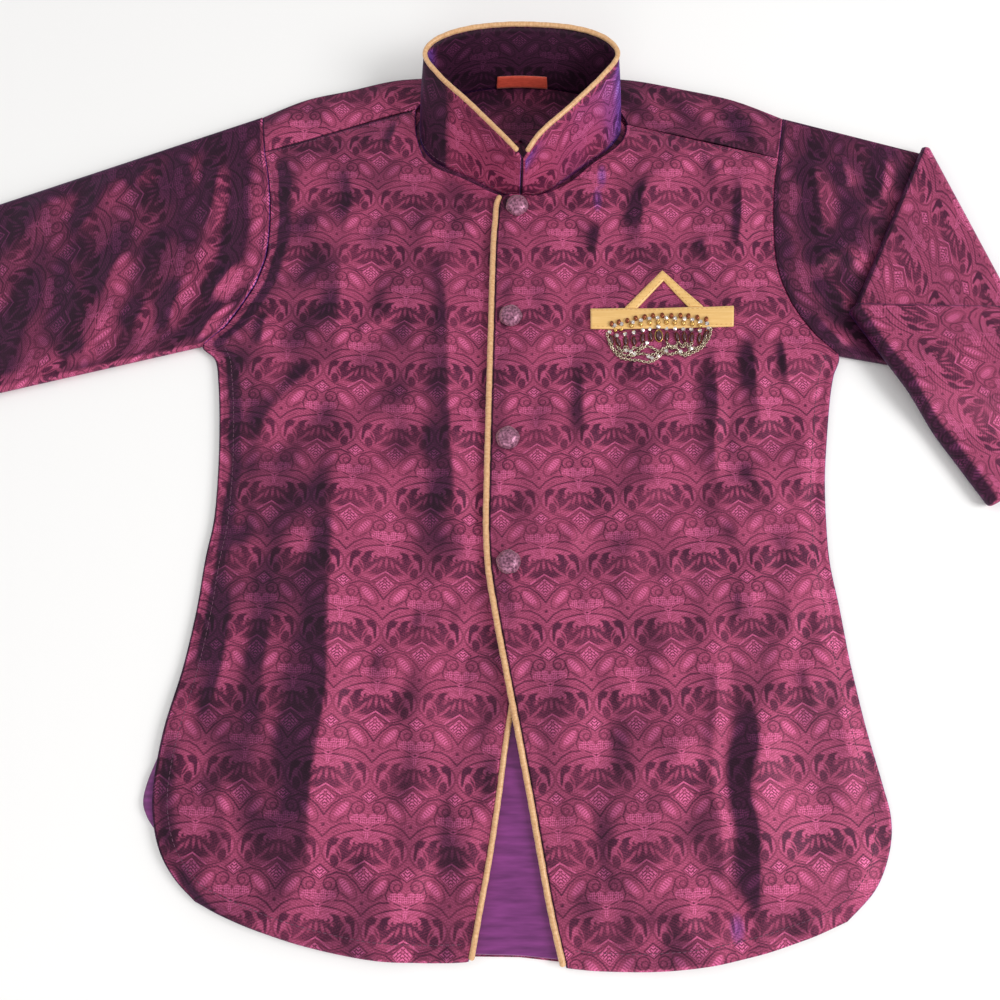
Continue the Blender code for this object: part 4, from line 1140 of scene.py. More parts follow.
# %% label
LABEL_LEFT = -15
LABEL_RIGHT = 19
LABEL_SHARES = (0.03, 0.22)
LABEL_THICK = 1
BACK_OF_NECK = 230
label_rows = np.array([row for row in curve_through(COLLAR_ROWS, np.linspace(0, len(COLLAR_ROWS) - 1, 500))
                       if LABEL_LEFT <= row[0] <= LABEL_RIGHT and row[1] > BACK_OF_NECK])
label_near, label_far = (np.array([collar_ring(label_rows, depth, level)
                                   for level in np.linspace(*LABEL_SHARES, 7)])
                         for depth in (COLLAR_WALL + GAP, COLLAR_WALL + GAP + LABEL_THICK))
label = shell("label_tape", label_far, label_near, grain_of(label_far), rim=0.2)
print("points along the label:", len(label_rows))

# %% [markdown]
# ## Back, lining and facing
# The back lies flat on the table and the solid's own shape is right for it, so it only gets cloth.
# The lining shows at the side slit, where it has slipped out in a soft bulge, and at the hem.

# %% lining
BACK_HEM_RISE = 1.6
BACK_CENTRE_HEM = -262.9
LINING_TOP = -118
LINING_HEM_RISE = 1.5
LINING_LEFT_INSET = 4
LINING_BULGE = [
    # x, y
    (-184, -150), (-192, -170), (-196.3, -186), (-193.5, -196), (-186, -206),
]
LINING_SOFT = 0.35
LINING_SOFT_FROM = -172
LINING_SOFT_WIDE = 10
RIPPLE = 0.8
RIPPLE_RATE = 0.35


def hem_line(rows, count):
    """Points along a front's hem, moved up to where the layer below it ends."""
    side_x, side_y, edge_x, edge_y, bow = rows[-1]
    share = np.linspace(0, 1, count + 1)
    x = mix(side_x, edge_x, share)
    y = mix(side_y, edge_y, share) - sag(bow, share) + BACK_HEM_RISE
    return np.column_stack([x, y])


def patch(top_line, low_line, left_line, right_line, rows, columns):
    """A grid of plan points filled between four border lines."""
    across = np.linspace(0, 1, columns)
    top_points, low_points = along(top_line, across), along(low_line, across)
    downs = np.linspace(0, 1, rows)
    grid = []
    for down, left, right in zip(downs, along(left_line, downs), along(right_line, downs)):
        straight = (mix(top_points[0], top_points[-1], across[:, None]) * (1 - down)
                    + mix(low_points[0], low_points[-1], across[:, None]) * down)
        grid.append(mix(top_points, low_points, down) + mix(left, right, across[:, None]) - straight)
    return np.array(grid)


low_right = hem_line(FRONT_RIGHT_ROWS, 30) + np.array([0, LINING_HEM_RISE])
low_left = hem_line(FRONT_LEFT_ROWS, 30) + np.array([0, LINING_HEM_RISE])
hem = np.concatenate([low_right, [[-1.5, BACK_CENTRE_HEM + 1.2]], low_left[::-1]])
bulge = np.concatenate([[(-176.0, LINING_TOP)], LINING_BULGE, [(-175.0, -222.0)], low_right[:1]])
bulge = curve_through(bulge, np.linspace(0, len(bulge) - 1, 90))
left_side = [(170.0, LINING_TOP)] + [(row[0] - LINING_LEFT_INSET, row[1]) for row in FRONT_LEFT_ROWS[-6:]]
left_side += [tuple(low_left[0])]
lining_plan = patch([(-176.0, LINING_TOP), (170.0, LINING_TOP)], hem, bulge, left_side, 70, 150)
lining_x, lining_y = lining_plan[..., 0], lining_plan[..., 1]
lining_lift = LINING_SOFT * smooth((LINING_SOFT_FROM - lining_x) / LINING_SOFT_WIDE)
lining_lift = lining_lift * (1 + np.sin(lining_y * RIPPLE_RATE) * RIPPLE)
lining_low = np.dstack([lining_plan, np.full_like(lining_x, LINING_FLOOR)])
lining_top = np.dstack([lining_plan, LINING_FLOOR + LINING_WALL + lining_lift])
back_lining = shell("back_lining_silk", lining_top, lining_low, grain_of(lining_top), rim=0.3)
print("lining area, m2:", round(cloth_area(lining_top), 4))

# %% facing
FACING_CENTRE = (1, 199.5)
FACING_RADII = (67, 41.5)
FACING_LIFT = 0.3
FACING_WAVES = 1.2
round_facing = np.linspace(0, 2 * pi, 121)
facing_rows = []
for share in np.linspace(1, 0.02, 24):
    x = FACING_CENTRE[0] + FACING_RADII[0] * share * np.cos(round_facing[:-1])
    y = FACING_CENTRE[1] + FACING_RADII[1] * share * np.sin(round_facing[:-1])
    lift = FACING_LIFT * smooth((1 - share) * 4) * (1 + waves(x, y, 31, FACING_WAVES))
    z = LINING_FLOOR + TRIM_WALL + lift
    facing_rows.append(np.column_stack([x, y, z]))
facing_top = np.array(facing_rows)
facing_low = facing_top.copy()
facing_low[..., 2] = LINING_FLOOR
facing_grain = np.concatenate([facing_top[..., :2], facing_top[:, :1, :2]], axis=1)
neck_facing = shell("neck_facing_cloth", facing_top, facing_low, facing_grain, rim=0.2, ring=True)
print("facing area, m2:", round(cloth_area(facing_top), 4))

# %% [markdown]
# ## The brocade
# A brocade repeat is charted before it is woven. This one is a half-drop damask: each row of motifs is
# moved half a repeat sideways, and every motif is the mirror of itself. So one small cell is enough:
# the cloth is folded onto it, and shapes are painted over each other in order, dark to bright.
# The bright threads float over the others, so they are smoother and catch the light in short dashes.

# %% cell and tones
HALF_WIDE = 22.0
HALF_HIGH = 37.0
CELL_TOP = -6.0
EDGE_SOFT = 0.55
DEEP = 0.03
DARK = 0.13
SHADE = 0.27
FIELD = 0.55
LIT = 0.64
COMB = 0.78
GLOW = 0.71
BRIGHT = 1.0
OVALS = 1
LINES = 2
DIAMONDS = 3
print("tones from dark to bright:", DEEP, DARK, SHADE, FIELD, LIT, GLOW, COMB, BRIGHT)

# %% chart of the scroll
SCROLL = [
    # kind, x, down, reach_x or end_x, reach_y or end_down, turn, half line (0 is filled), tone
    (OVALS, 0, 27.4, 20.9, 10.6, 0, 0.46, DARK), (OVALS, 0, 27.4, 19.6, 9.4, 0, 0.8, LIT),
    (OVALS, 0, 27, 18.4, 7, 0, 0, SHADE), (OVALS, 5.6, 24.8, 7.4, 4.2, 4, 0, DARK),
    (OVALS, 8.6, 23.6, 3.4, 2.6, -24, 0, DEEP), (OVALS, 12.2, 25.4, 1.5, 1.9, -20, 0, DARK),
    (OVALS, 10.4, 27.2, 2, 1.6, 20, 0, DEEP), (OVALS, 13.6, 22.2, 1.5, 1.2, 0, 0, DARK),
    (OVALS, 16.6, 23.8, 2.5, 3.3, -30, 0, DEEP), (OVALS, 18.6, 27.4, 0.8, 3.6, -4, 0, DEEP),
    (OVALS, 11, 29.6, 3.4, 2.4, 52, 0, DARK), (OVALS, 12.6, 22, 1, 3.8, -34, 0, FIELD),
    (OVALS, 14.8, 29.4, 2.8, 5, 16, 0, FIELD), (OVALS, 16, 27, 1.3, 2.8, -26, 0, LIT),
    (OVALS, 15.2, 31.8, 2.1, 3, 14, 0, DARK), (OVALS, 13.4, 28.6, 0.5, 2.4, 30, 0, DARK),
    (OVALS, 3.4, 21.4, 3.2, 1.6, -18, 0, LIT), (OVALS, 6, 22.8, 2.3, 2.1, 0, 0, LIT),
    (OVALS, 5.5, 23.5, 1.2, 1, 20, 0, DARK), (OVALS, 4.7, 23, 0.9, 0.7, 30, 0, LIT),
    (OVALS, 9.4, 21.4, 2.4, 0.7, 16, 0, DEEP), (OVALS, 8.2, 25.6, 1.5, 1.1, -30, 0, FIELD),
    (OVALS, 8.9, 25.3, 0.7, 0.6, 0, 0, DARK), (OVALS, 0, 29.2, 10.6, 4.2, 0, 0, DARK),
    (OVALS, 0, 26.6, 0.8, 2.6, 0, 0, FIELD), (OVALS, 3.2, 27.4, 0.75, 2.5, -20, 0, FIELD),
    (OVALS, 6.4, 28.9, 0.75, 2.5, -42, 0, FIELD), (OVALS, 9.4, 31.4, 0.75, 2.4, -58, 0, FIELD),
    (OVALS, 12, 34.4, 0.8, 2.2, -74, 0, FIELD),
]
print("shapes in half a scroll:", len(SCROLL))

# %% chart of the figure
FIGURE = [
    (LINES, 8.6, 13.8, 13.4, 14, 0, 0.42, DARK), (LINES, 13.4, 14, 18, 16.4, 0, 0.42, DARK),
    (LINES, 18, 16.4, 22, 20.4, 0, 0.42, DARK), (LINES, 13.6, 16.8, 17.6, 18.8, 0, 0.26, SHADE),
    (OVALS, 22, 14.6, 0.9, 0.8, 0, 0, DARK), (LINES, 3.4, 2.4, 8.4, 0.4, 0, 0.42, DARK),
    (LINES, 8.4, 0.4, 13.6, 1.4, 0, 0.42, DARK), (LINES, 13.6, 1.4, 18.2, 5, 0, 0.42, DARK),
    (LINES, 18.2, 5, 22, 9.8, 0, 0.42, DARK), (LINES, 8.6, -2.2, 14.4, -0.9, 0, 0.28, SHADE),
    (LINES, 14.4, -0.9, 18.6, 2.4, 0, 0.28, SHADE), (LINES, 18.6, 2.4, 22, 7, 0, 0.28, SHADE),
    (OVALS, 14, 8, 6.6, 3.6, 47, 0.26, SHADE), (OVALS, 13.4, 7, 4.6, 1.7, 47, 0, COMB),
    (LINES, 11.8, 10.2, 15.4, 12.6, 0, 0.26, DARK), (OVALS, 5.4, 6, 3.3, 3, 20, 0.34, DARK),
    (OVALS, 4.6, 6.6, 1.7, 1.5, 0, 0.26, DARK), (LINES, 8.8, 6, 10.2, 10.4, 0, 0.32, DARK),
    (LINES, 10.2, 10.4, 8.8, 13.6, 0, 0.32, DARK), (OVALS, 2.9, 10.3, 2.2, 1.4, -14, 0, GLOW),
    (OVALS, 6.3, 10.4, 2.1, 1.3, 22, 0, GLOW), (OVALS, 8.3, 11.9, 0.9, 1.4, -16, 0, GLOW),
    (OVALS, 5.6, 12.3, 1.5, 1.1, -24, 0, GLOW), (OVALS, 2.9, 12.9, 1.7, 1.2, -30, 0, GLOW),
    (OVALS, 0, 12.3, 1.6, 2, 0, 0, GLOW), (OVALS, 0, 9.9, 0.6, 0.8, 0, 0, SHADE),
    (OVALS, 4.6, 8.9, 0.5, 0.6, 0, 0, SHADE), (OVALS, 4.3, 11.5, 0.4, 0.5, 0, 0, SHADE),
    (LINES, 2.6, 15.2, 5.6, 14, 0, 0.24, DARK), (DIAMONDS, 0, 19.6, 1.5, 3.4, 0, 0, GLOW),
    (OVALS, 0, 16.2, 1.9, 1.2, 0, 0, GLOW), (OVALS, 0, 16.1, 0.6, 0.5, 0, 0, DARK),
    (DIAMONDS, 0, 0.4, 5, 4.1, 0, 0, DARK), (DIAMONDS, 0, 0.6, 3.9, 3.1, 0, 0, BRIGHT),
    (LINES, 14.4, 0.4, 22, -4.8, 0, 0.9, SHADE), (LINES, 14.4, -0.5, 22, -5.5, 0, 0.34, BRIGHT),
    (DIAMONDS, 22, 1.6, 6.2, 5.6, 0, 0, SHADE), (DIAMONDS, 22, 1.8, 5.2, 4.8, 0, 0, BRIGHT),
]
print("shapes in half a figure:", len(FIGURE))

# %% whole chart
CHART = list(SCROLL)
for kind, at_x, at_y, reach_x, reach_y, turn, line, shade in SCROLL:
    # The scroll runs over the edge of its cell, so its foot is drawn again above the next figure.
    if at_y + max(reach_x if turn else 0, reach_y) > HALF_HIGH + CELL_TOP:
        CHART.append((kind, HALF_WIDE - at_x, at_y - HALF_HIGH, reach_x, reach_y, -turn, line, shade))
CHART += FIGURE
print("shapes in one cell:", len(CHART))

# %% place inside a shape
MATH = "ShaderNodeMath"
VECTOR = "ShaderNodeVectorMath"
MIX = "ShaderNodeMix"


def own_place(tree, spot, x, y, angle, reach_x=1.0, reach_y=1.0):
    """A spot seen from a shape's own middle and axes, in shares of its reach.

    Plain vector sums are used for it. A Mapping node for every shape would fill the renderer's memory
    for one material, and the cloth would turn black.
    """
    if angle == 0:
        return node(tree, VECTOR, spot, (1 / reach_x, 1 / reach_y, 0), (-x / reach_x, -y / reach_y, 0),
                    operation="MULTIPLY_ADD")
    away = node(tree, VECTOR, spot, (x, y, 0), operation="SUBTRACT")
    cosine, sine = cos(angle), sin(angle)
    across = node(tree, VECTOR, away, (cosine / reach_x, sine / reach_x, 0), operation="DOT_PRODUCT")
    down = node(tree, VECTOR, away, (-sine / reach_y, cosine / reach_y, 0), operation="DOT_PRODUCT")
    return node(tree, "ShaderNodeCombineXYZ", across, down)


print("a shape is painted with", MATH, "and", VECTOR)

# %% masks of the shapes
DIAMOND_SHARE = 0.75
FULL_TURN = 6.283


def shape_mask(tree, spot, kind, x, y, reach_x, reach_y, turn, line):
    """How far a spot of the cell is inside one shape. The mix that reads it clamps it to 0 to 1."""
    if kind == LINES:
        angle = atan2(reach_y - y, reach_x - x)
        half = hypot(reach_x - x, reach_y - y) / 2
        local = own_place(tree, spot, (x + reach_x) / 2, (y + reach_y) / 2, angle)
        past_end = node(tree, VECTOR, node(tree, VECTOR, local, operation="ABSOLUTE"), (half, 0, 0),
                        operation="SUBTRACT")
        distance = node(tree, VECTOR, node(tree, VECTOR, past_end, (0, 0, 0), operation="MAXIMUM"),
                        operation="LENGTH")
        return node(tree, MATH, distance, -1 / EDGE_SOFT, 0.5 + line / EDGE_SOFT, operation="MULTIPLY_ADD")
    local = own_place(tree, spot, x, y, radians(turn), reach_x, reach_y)
    small = min(reach_x, reach_y)
    if kind == DIAMONDS:
        small *= DIAMOND_SHARE
        distance = node(tree, VECTOR, node(tree, VECTOR, local, operation="ABSOLUTE"), (1, 1, 0),
                        operation="DOT_PRODUCT")
    else:
        distance = node(tree, VECTOR, local, operation="LENGTH")
    if line:
        distance = node(tree, MATH, node(tree, MATH, distance, 1.0, operation="SUBTRACT"),
                        operation="ABSOLUTE")
    reach = line if line else small
    return node(tree, MATH, distance, -small / EDGE_SOFT, 0.5 + reach / EDGE_SOFT, operation="MULTIPLY_ADD")


def stripes(tree, spot, across, down):
    """A wave along a direction given in turns per mm."""
    place = node(tree, VECTOR, spot, (across * FULL_TURN, down * FULL_TURN, 0), operation="DOT_PRODUCT")
    return node(tree, MATH, place, operation="SINE")


print("edge of a shape, mm wide:", EDGE_SOFT)

# %% folding the cloth onto one cell
pattern = bpy.data.node_groups.new("woven_pattern", "ShaderNodeTree")
pattern.interface.new_socket("Place", in_out="INPUT", socket_type="NodeSocketVector")
pattern.interface.new_socket("Tone", in_out="OUTPUT", socket_type="NodeSocketFloat")
pattern.interface.new_socket("Float", in_out="OUTPUT", socket_type="NodeSocketFloat")
place = node(pattern, "NodeGroupInput")
in_mm = node(pattern, VECTOR, place, named={"Scale": 1 / MM}, operation="SCALE")
split = node(pattern, "ShaderNodeSeparateXYZ", in_mm)
down = node(pattern, MATH, split.outputs[1], -1.0, operation="MULTIPLY")
lowered = node(pattern, MATH, node(pattern, MATH, down, CELL_TOP, operation="SUBTRACT"), HALF_HIGH,
               operation="DIVIDE")
row = node(pattern, MATH, lowered, operation="FLOOR")
cell_y = node(pattern, MATH, row, -HALF_HIGH, down, operation="MULTIPLY_ADD")
moved = node(pattern, MATH, row, HALF_WIDE, split.outputs[0], operation="MULTIPLY_ADD")
cell_x = node(pattern, MATH, moved, HALF_WIDE, operation="PINGPONG")
spot = node(pattern, "ShaderNodeCombineXYZ", cell_x, cell_y)
print("one repeat, mm:", 2 * HALF_WIDE, "x", 2 * HALF_HIGH)

# %% painting the chart
TONE_NEAR = 0.015
PATCH_SCALE = 0.035
tone = FIELD
for kind, at_x, at_y, reach_x, reach_y, turn, line, shade in CHART:
    mask = shape_mask(pattern, spot, kind, at_x, at_y, reach_x, reach_y, turn, line)
    tone = node(pattern, MIX, mask, tone, shade, data_type="FLOAT")
comb = node(pattern, MATH, node(pattern, MATH, tone, COMB, TONE_NEAR, operation="COMPARE"), 0.5,
            operation="MULTIPLY")
brick_share = node(pattern, MATH, tone, BRIGHT, TONE_NEAR, operation="COMPARE")
dot_share = node(pattern, MATH, tone, GLOW, TONE_NEAR, operation="COMPARE")
# Soft random patches leave the figure clear in some places and faint in others: painted changes of sheen.
patches = node(pattern, "ShaderNodeTexNoise", in_mm, named={"Scale": PATCH_SCALE, "Detail": 2.0},
               noise_dimensions="2D")
clearness = node(pattern, "ShaderNodeMapRange", patches, 0.3, 0.7, 0.75, 1.2)
tone = node(pattern, MATH, node(pattern, MATH, tone, FIELD, operation="SUBTRACT"), clearness, FIELD,
            operation="MULTIPLY_ADD")
floats = node(pattern, MATH, tone, 5.0, -4.0, operation="MULTIPLY_ADD", use_clamp=True)
print("nodes that paint the chart:", len(pattern.nodes))

# %% threads
# Real threads are finer than these. They are drawn coarser so that they stay clear from above.
GRIT_SCALE = 1.5
TWILL_DEPTH = 0.085
BRICK_DEPTH = 0.5
DOT_DEPTH = 0.34
COMB_DEPTH = 0.4
FLOAT_DEPTH = -0.14
slanted = node(pattern, "ShaderNodeMapping", spot, None, (0, 0, radians(42)))
bricks = node(pattern, "ShaderNodeTexBrick", slanted, (1, 1, 1, 1), (0.5, 0.5, 0.5, 1), (0, 0, 0, 1),
              1.0, 0.34, 0.3, 0.0, 2.6, 1.25)
bricks = node(pattern, MATH, bricks, 1.6, -1.1, operation="MULTIPLY_ADD")
dots = node(pattern, MATH, stripes(pattern, spot, 0.5, 0.42), stripes(pattern, spot, 0.5, -0.42),
            operation="MULTIPLY")
grit = node(pattern, "ShaderNodeTexNoise", in_mm, named={"Scale": GRIT_SCALE, "Detail": 2.0},
            noise_dimensions="2D")
twill = node(pattern, MATH, stripes(pattern, spot, 0.32, 0.72), node(
    pattern, MATH, grit, 8.0, -4.0, operation="MULTIPLY_ADD"), operation="ADD")
woven = node(pattern, MATH, twill, TWILL_DEPTH, tone, operation="MULTIPLY_ADD")
woven = node(pattern, MATH, node(pattern, MATH, bricks, brick_share, operation="MULTIPLY"), BRICK_DEPTH,
             woven, operation="MULTIPLY_ADD")
woven = node(pattern, MATH, node(pattern, MATH, dots, dot_share, operation="MULTIPLY"), DOT_DEPTH, woven,
             operation="MULTIPLY_ADD")
woven = node(pattern, MATH, node(pattern, MATH, stripes(pattern, spot, 0.49, 0.52), comb,
                                 operation="MULTIPLY"), COMB_DEPTH, woven, operation="MULTIPLY_ADD")
woven = node(pattern, MATH, floats, FLOAT_DEPTH, woven, operation="MULTIPLY_ADD")
result = node(pattern, "NodeGroupOutput", woven, floats)
print("nodes in the pattern:", len(pattern.nodes))

# %% [markdown]
# Shot cloth has threads of one colour along it and of another colour across it. Seen from one side
# the first ones show, seen from the other side the second ones do. Here that is painted as light and
# shade: the material mixes a shaded set and a lit set of three colours by how far a spot faces the side
# of the key light, and each set runs from the dark ground to the bright threads.

# %% colours of the brocade
# The plum sets are the cloth in painted shade, the pink sets the same cloth in painted light; the deep and
# clear ones are the collar's.
PLUM_IN_PAINTED_SHADE = ("22081a", "3c1430", "642850")
PINK_IN_PAINTED_LIGHT = ("4c1836", "9e4162", "dc689a")
# The violet set is a painted glint.
VIOLET_PAINTED_GLINT = ("2c1650", "643c98", "9474d0")
DEEP_PLUM_IN_PAINTED_SHADE = ("200a1a", "3c1630", "602a4e")
CLEAR_PINK_IN_PAINTED_LIGHT = ("521836", "a24062", "d26492")
print("ground of the pink threads:", PINK_IN_PAINTED_LIGHT[0], "bright:", PINK_IN_PAINTED_LIGHT[2])

# %% shot brocade
SHADE_PATCH_SCALE = 0.034
SHADE_PATCH_DEPTH = 0.9


def three_colours(tree, tone, codes):
    """Colours for tones 0, about a half and 1."""
    ramp = node(tree, "ShaderNodeValToRGB", tone)
    stops = ramp.color_ramp.elements
    stops[0].color = colour(codes[0])
    stops[1].color = colour(codes[2])
    stops.new(FIELD).color = colour(codes[1])
    return ramp


def shot_brocade(name, lean=(2.6, -0.6, 0.0), level=0.6, by_object=False, plum=PLUM_IN_PAINTED_SHADE, pink=PINK_IN_PAINTED_LIGHT,
                 glint=0.15, steep=(2.1, 2.9)):
    """Brocade with painted light and shade: pink towards the light side, plum away from it.

    Where it turns steeply to the light side, a painted violet glint shows.
    """
    made, tree, shader = new_material(name)
    coordinates = node(tree, "ShaderNodeTexCoord")
    place = coordinates.outputs["Object"] if by_object else node(tree, "ShaderNodeUVMap", uv_map="grain")
    woven = node(tree, "ShaderNodeGroup", node_tree=pattern)
    tree.links.new(place if by_object else place.outputs[0], woven.inputs[0])
    # Painted light and shade: the more a spot faces along lean, towards the key light, the lighter its
    # colour; level and turned add to it.
    facing = node(tree, VECTOR, coordinates.outputs["Normal"], lean, operation="DOT_PRODUCT")
    turned = node(tree, "ShaderNodeAttribute", attribute_name="turned").outputs["Fac"]
    raised = node(tree, MATH, facing, level, operation="ADD")
    # Soft random patches shift the painted light and shade a little.
    shade_patches = node(tree, "ShaderNodeTexNoise", place, named={"Scale": SHADE_PATCH_SCALE / MM, "Detail": 2.0})
    painted_light_sum = node(tree, MATH, shade_patches, SHADE_PATCH_DEPTH, -SHADE_PATCH_DEPTH / 2, operation="MULTIPLY_ADD")
    painted_light_sum = node(tree, MATH, node(tree, MATH, raised, turned, operation="ADD"), painted_light_sum, operation="ADD")
    share = node(tree, "ShaderNodeMapRange", painted_light_sum, interpolation_type="SMOOTHSTEP")
    painted_shade_colours = three_colours(tree, woven.outputs[0], plum)
    painted_light_colours = three_colours(tree, woven.outputs[0], pink)
    tint = node(tree, MIX, share, painted_shade_colours, painted_light_colours, data_type="RGBA")
    # Painted glint: violet where a spot faces steeply towards the key light, or where turned is above 1.
    painted_glint = node(tree, "ShaderNodeMapRange", raised, *steep, 0.0, 0.85, interpolation_type="SMOOTHSTEP")
    painted_glint = node(tree, MATH, painted_glint, node(tree, MATH, turned, 1.0, operation="SUBTRACT"), operation="MAXIMUM")
    tint = node(tree, MIX, painted_glint, tint, three_colours(tree, woven.outputs[0], VIOLET_PAINTED_GLINT), data_type="RGBA")
    tree.links.new(tint.outputs[2], shader.inputs["Base Color"])
    gloss = node(tree, MATH, woven.outputs[1], -0.06, 0.55, operation="MULTIPLY_ADD")
    tree.links.new(gloss.outputs[0], shader.inputs["Roughness"])
    for key, value in (("Metallic", 0.25), ("Specular IOR Level", 0.24), ("Sheen Weight", glint),
                       ("Sheen Roughness", 0.4), ("Sheen Tint", colour("6a4cc8"))):
        shader.inputs[key].default_value = value
    return made


brocade = shot_brocade("shot_brocade")
# The collar gets its own painted light and shade; the facing inside the neck is kept darker with painted
# shade.
collar_cloth = shot_brocade("collar_brocade", lean=(2.6, -0.4, 0.0), level=1.6,
                            plum=DEEP_PLUM_IN_PAINTED_SHADE, pink=CLEAR_PINK_IN_PAINTED_LIGHT, steep=(3.3, 3.9))
facing_cloth = shot_brocade("facing_brocade", lean=(1.6, 0.4, 0.0), level=0.25, glint=0.3)
print("nodes in the brocade:", len(brocade.node_tree.nodes))

# %% [markdown]
# ## Buttons and pocket
# The buttons are moulds covered in a gathered disc of silk, so each dome has soft facets. The pocket is
# a welt of gold satin with a pointed strip above it. Both lie on the left front and follow its folds.

# %% buttons
BUTTON_YS = (152, 81, 6.8, -63.7)
BUTTON_INSET = 9.5
# The button's outline from its top down to its foot: radius, height.
BUTTON_DOME = [(0.9, 5.35), (2.6, 5.1), (4.3, 4.4), (5.6, 3.3), (6.4, 2.0), (6.6, 1.3), (6.3, 0.5),
               (4.4, 0.0)]


def edge_x_at(rows, y):
    """Front edge x of a front at a height up the coat."""
    for upper, lower in zip(rows, rows[1:]):
        if upper[3] >= y >= lower[3] and upper[3] - lower[3] > 3:
            return mix(upper[2], lower[2], (upper[3] - y) / (upper[3] - lower[3]))
    return rows[-1][2]


def turned_solid(name, profile, sides, gather, place, seed):
    """A solid turned from a profile of (radius, height), with soft gathers towards its rim."""
    phase = np.random.default_rng(seed).uniform(0, 6.28, 3)
    turn = np.linspace(0, 2 * pi, sides, endpoint=False)
    wave = np.sin(turn * 5 + phase[0]) + 0.6 * np.sin(turn * 8 + phase[1])
    rings = []
    for radius, height in profile:
        reach = radius * (1 + gather * radius / profile[3][0] * wave)
        rings.append(place + np.column_stack([reach * np.cos(turn), reach * np.sin(turn),
                                              np.full(sides, height)]))
    tips = place + np.array([(0, 0, profile[0][1] + 0.05), (0, 0, profile[-1][1])])
    return closed_rings(name, rings, tips)


buttons = []
for number, y in enumerate(BUTTON_YS, 1):
    x = edge_x_at(FRONT_LEFT_ROWS, y) + BUTTON_INSET
    low = max(left_height(x + 6 * cos(turn), y + 6 * sin(turn)) for turn in range(7))
    buttons.append(turned_solid(f"button_{number}_cover", BUTTON_DOME, 40, 0.02, (x, y, low + 0.1), number))
print("buttons:", len(buttons))

# %% welt and point
WELT_TOP = ((41.4, 86), (124.3, 87.3))
WELT_LOW = ((41.2, 73.4), (123.8, 75.3))
WELT_WALL = 1.6
POINT_OUTER = ((61.4, 86.9), (84, 110.4), (106.8, 87.6))
POINT_INNER = ((68.5, 87), (84.6, 104.3), (98.5, 87.5))
STRIP_LIFT = 0.15
STRIP_SWELL = 0.4


def strip(name, first, last, levels, thick):
    """A strip lying on the left front between two plan lines."""
    shares = np.linspace(0, 1, 81)
    top = []
    under = []
    for level in np.linspace(0, 1, levels):
        plan = mix(along(first, shares), along(last, shares), level)
        rise = thick + STRIP_SWELL * sin(pi * level)
        under.append([(x, y, left_height(x, y) + STRIP_LIFT) for x, y in plan])
        top.append([(x, y, z + rise) for x, y, z in under[-1]])
    return shell(name, top, under, grain_of(top), rim=0.3), np.array(top)


pocket_welt, welt_top = strip("pocket_welt_satin", WELT_TOP, WELT_LOW, 13, WELT_WALL)
pocket_point, point_top = strip("pocket_point_satin", POINT_OUTER, POINT_INNER, 7, TRIM_WALL)
welt_height = height_reader(welt_top)
print("top of the welt, mm above the table:", round(float(welt_top[..., 2].max()), 1))

# %% [markdown]
# ## Small parts that repeat
# Stitches, beads and chain links are one small shape set many times along a line. A Geometry Nodes
# tree does that: it puts a copy of the shape on every point, turned by the angles stored there, and
# adds a small random turn so that no two stitches look alike.

# %% repeating tree
repeat_tree = bpy.data.node_groups.new("repeat_on_points", "GeometryNodeTree")
for socket_name, socket_kind in (("Points", "Geometry"), ("Shape", "Object"), ("Wobble", "Float"),
                                 ("Seed", "Int"), ("Finish", "Material")):
    repeat_tree.interface.new_socket(socket_name, in_out="INPUT", socket_type="NodeSocket" + socket_kind)
repeat_tree.interface.new_socket("Result", in_out="OUTPUT", socket_type="NodeSocketGeometry")
given = node(repeat_tree, "NodeGroupInput")
shape_info = node(repeat_tree, "GeometryNodeObjectInfo", given.outputs["Shape"])
stored_turn = node(repeat_tree, "GeometryNodeInputNamedAttribute", "turn", data_type="FLOAT_VECTOR")
chance_turn = node(repeat_tree, "FunctionNodeRandomValue", (-1, -1, -1), (1, 1, 1),
                   named={"Seed": given.outputs["Seed"]}, data_type="FLOAT_VECTOR")
small_turn = node(repeat_tree, VECTOR, chance_turn, named={"Scale": given.outputs["Wobble"]},
                  operation="SCALE")
whole_turn = node(repeat_tree, VECTOR, stored_turn, small_turn)
as_turn = node(repeat_tree, "FunctionNodeEulerToRotation", whole_turn)
copies = node(repeat_tree, "GeometryNodeInstanceOnPoints", given.outputs["Points"],
              named={"Instance": shape_info.outputs["Geometry"], "Rotation": as_turn.outputs[0]})
joined = node(repeat_tree, "GeometryNodeRealizeInstances", copies)
finished = node(repeat_tree, "GeometryNodeSetMaterial", joined,
                named={"Material": given.outputs["Finish"]})
node(repeat_tree, "NodeGroupOutput", finished)
print("repeating tree nodes:", len(repeat_tree.nodes))

# %% using the tree


def aim(along_it, up):
    """Angles that turn a shape's x axis along a line and its z axis towards up."""
    x_axis = Vector(along_it).normalized()
    y_axis = Vector(up).cross(x_axis).normalized()
    z_axis = x_axis.cross(y_axis)
    return tuple(Matrix((x_axis, y_axis, z_axis)).transposed().to_euler())


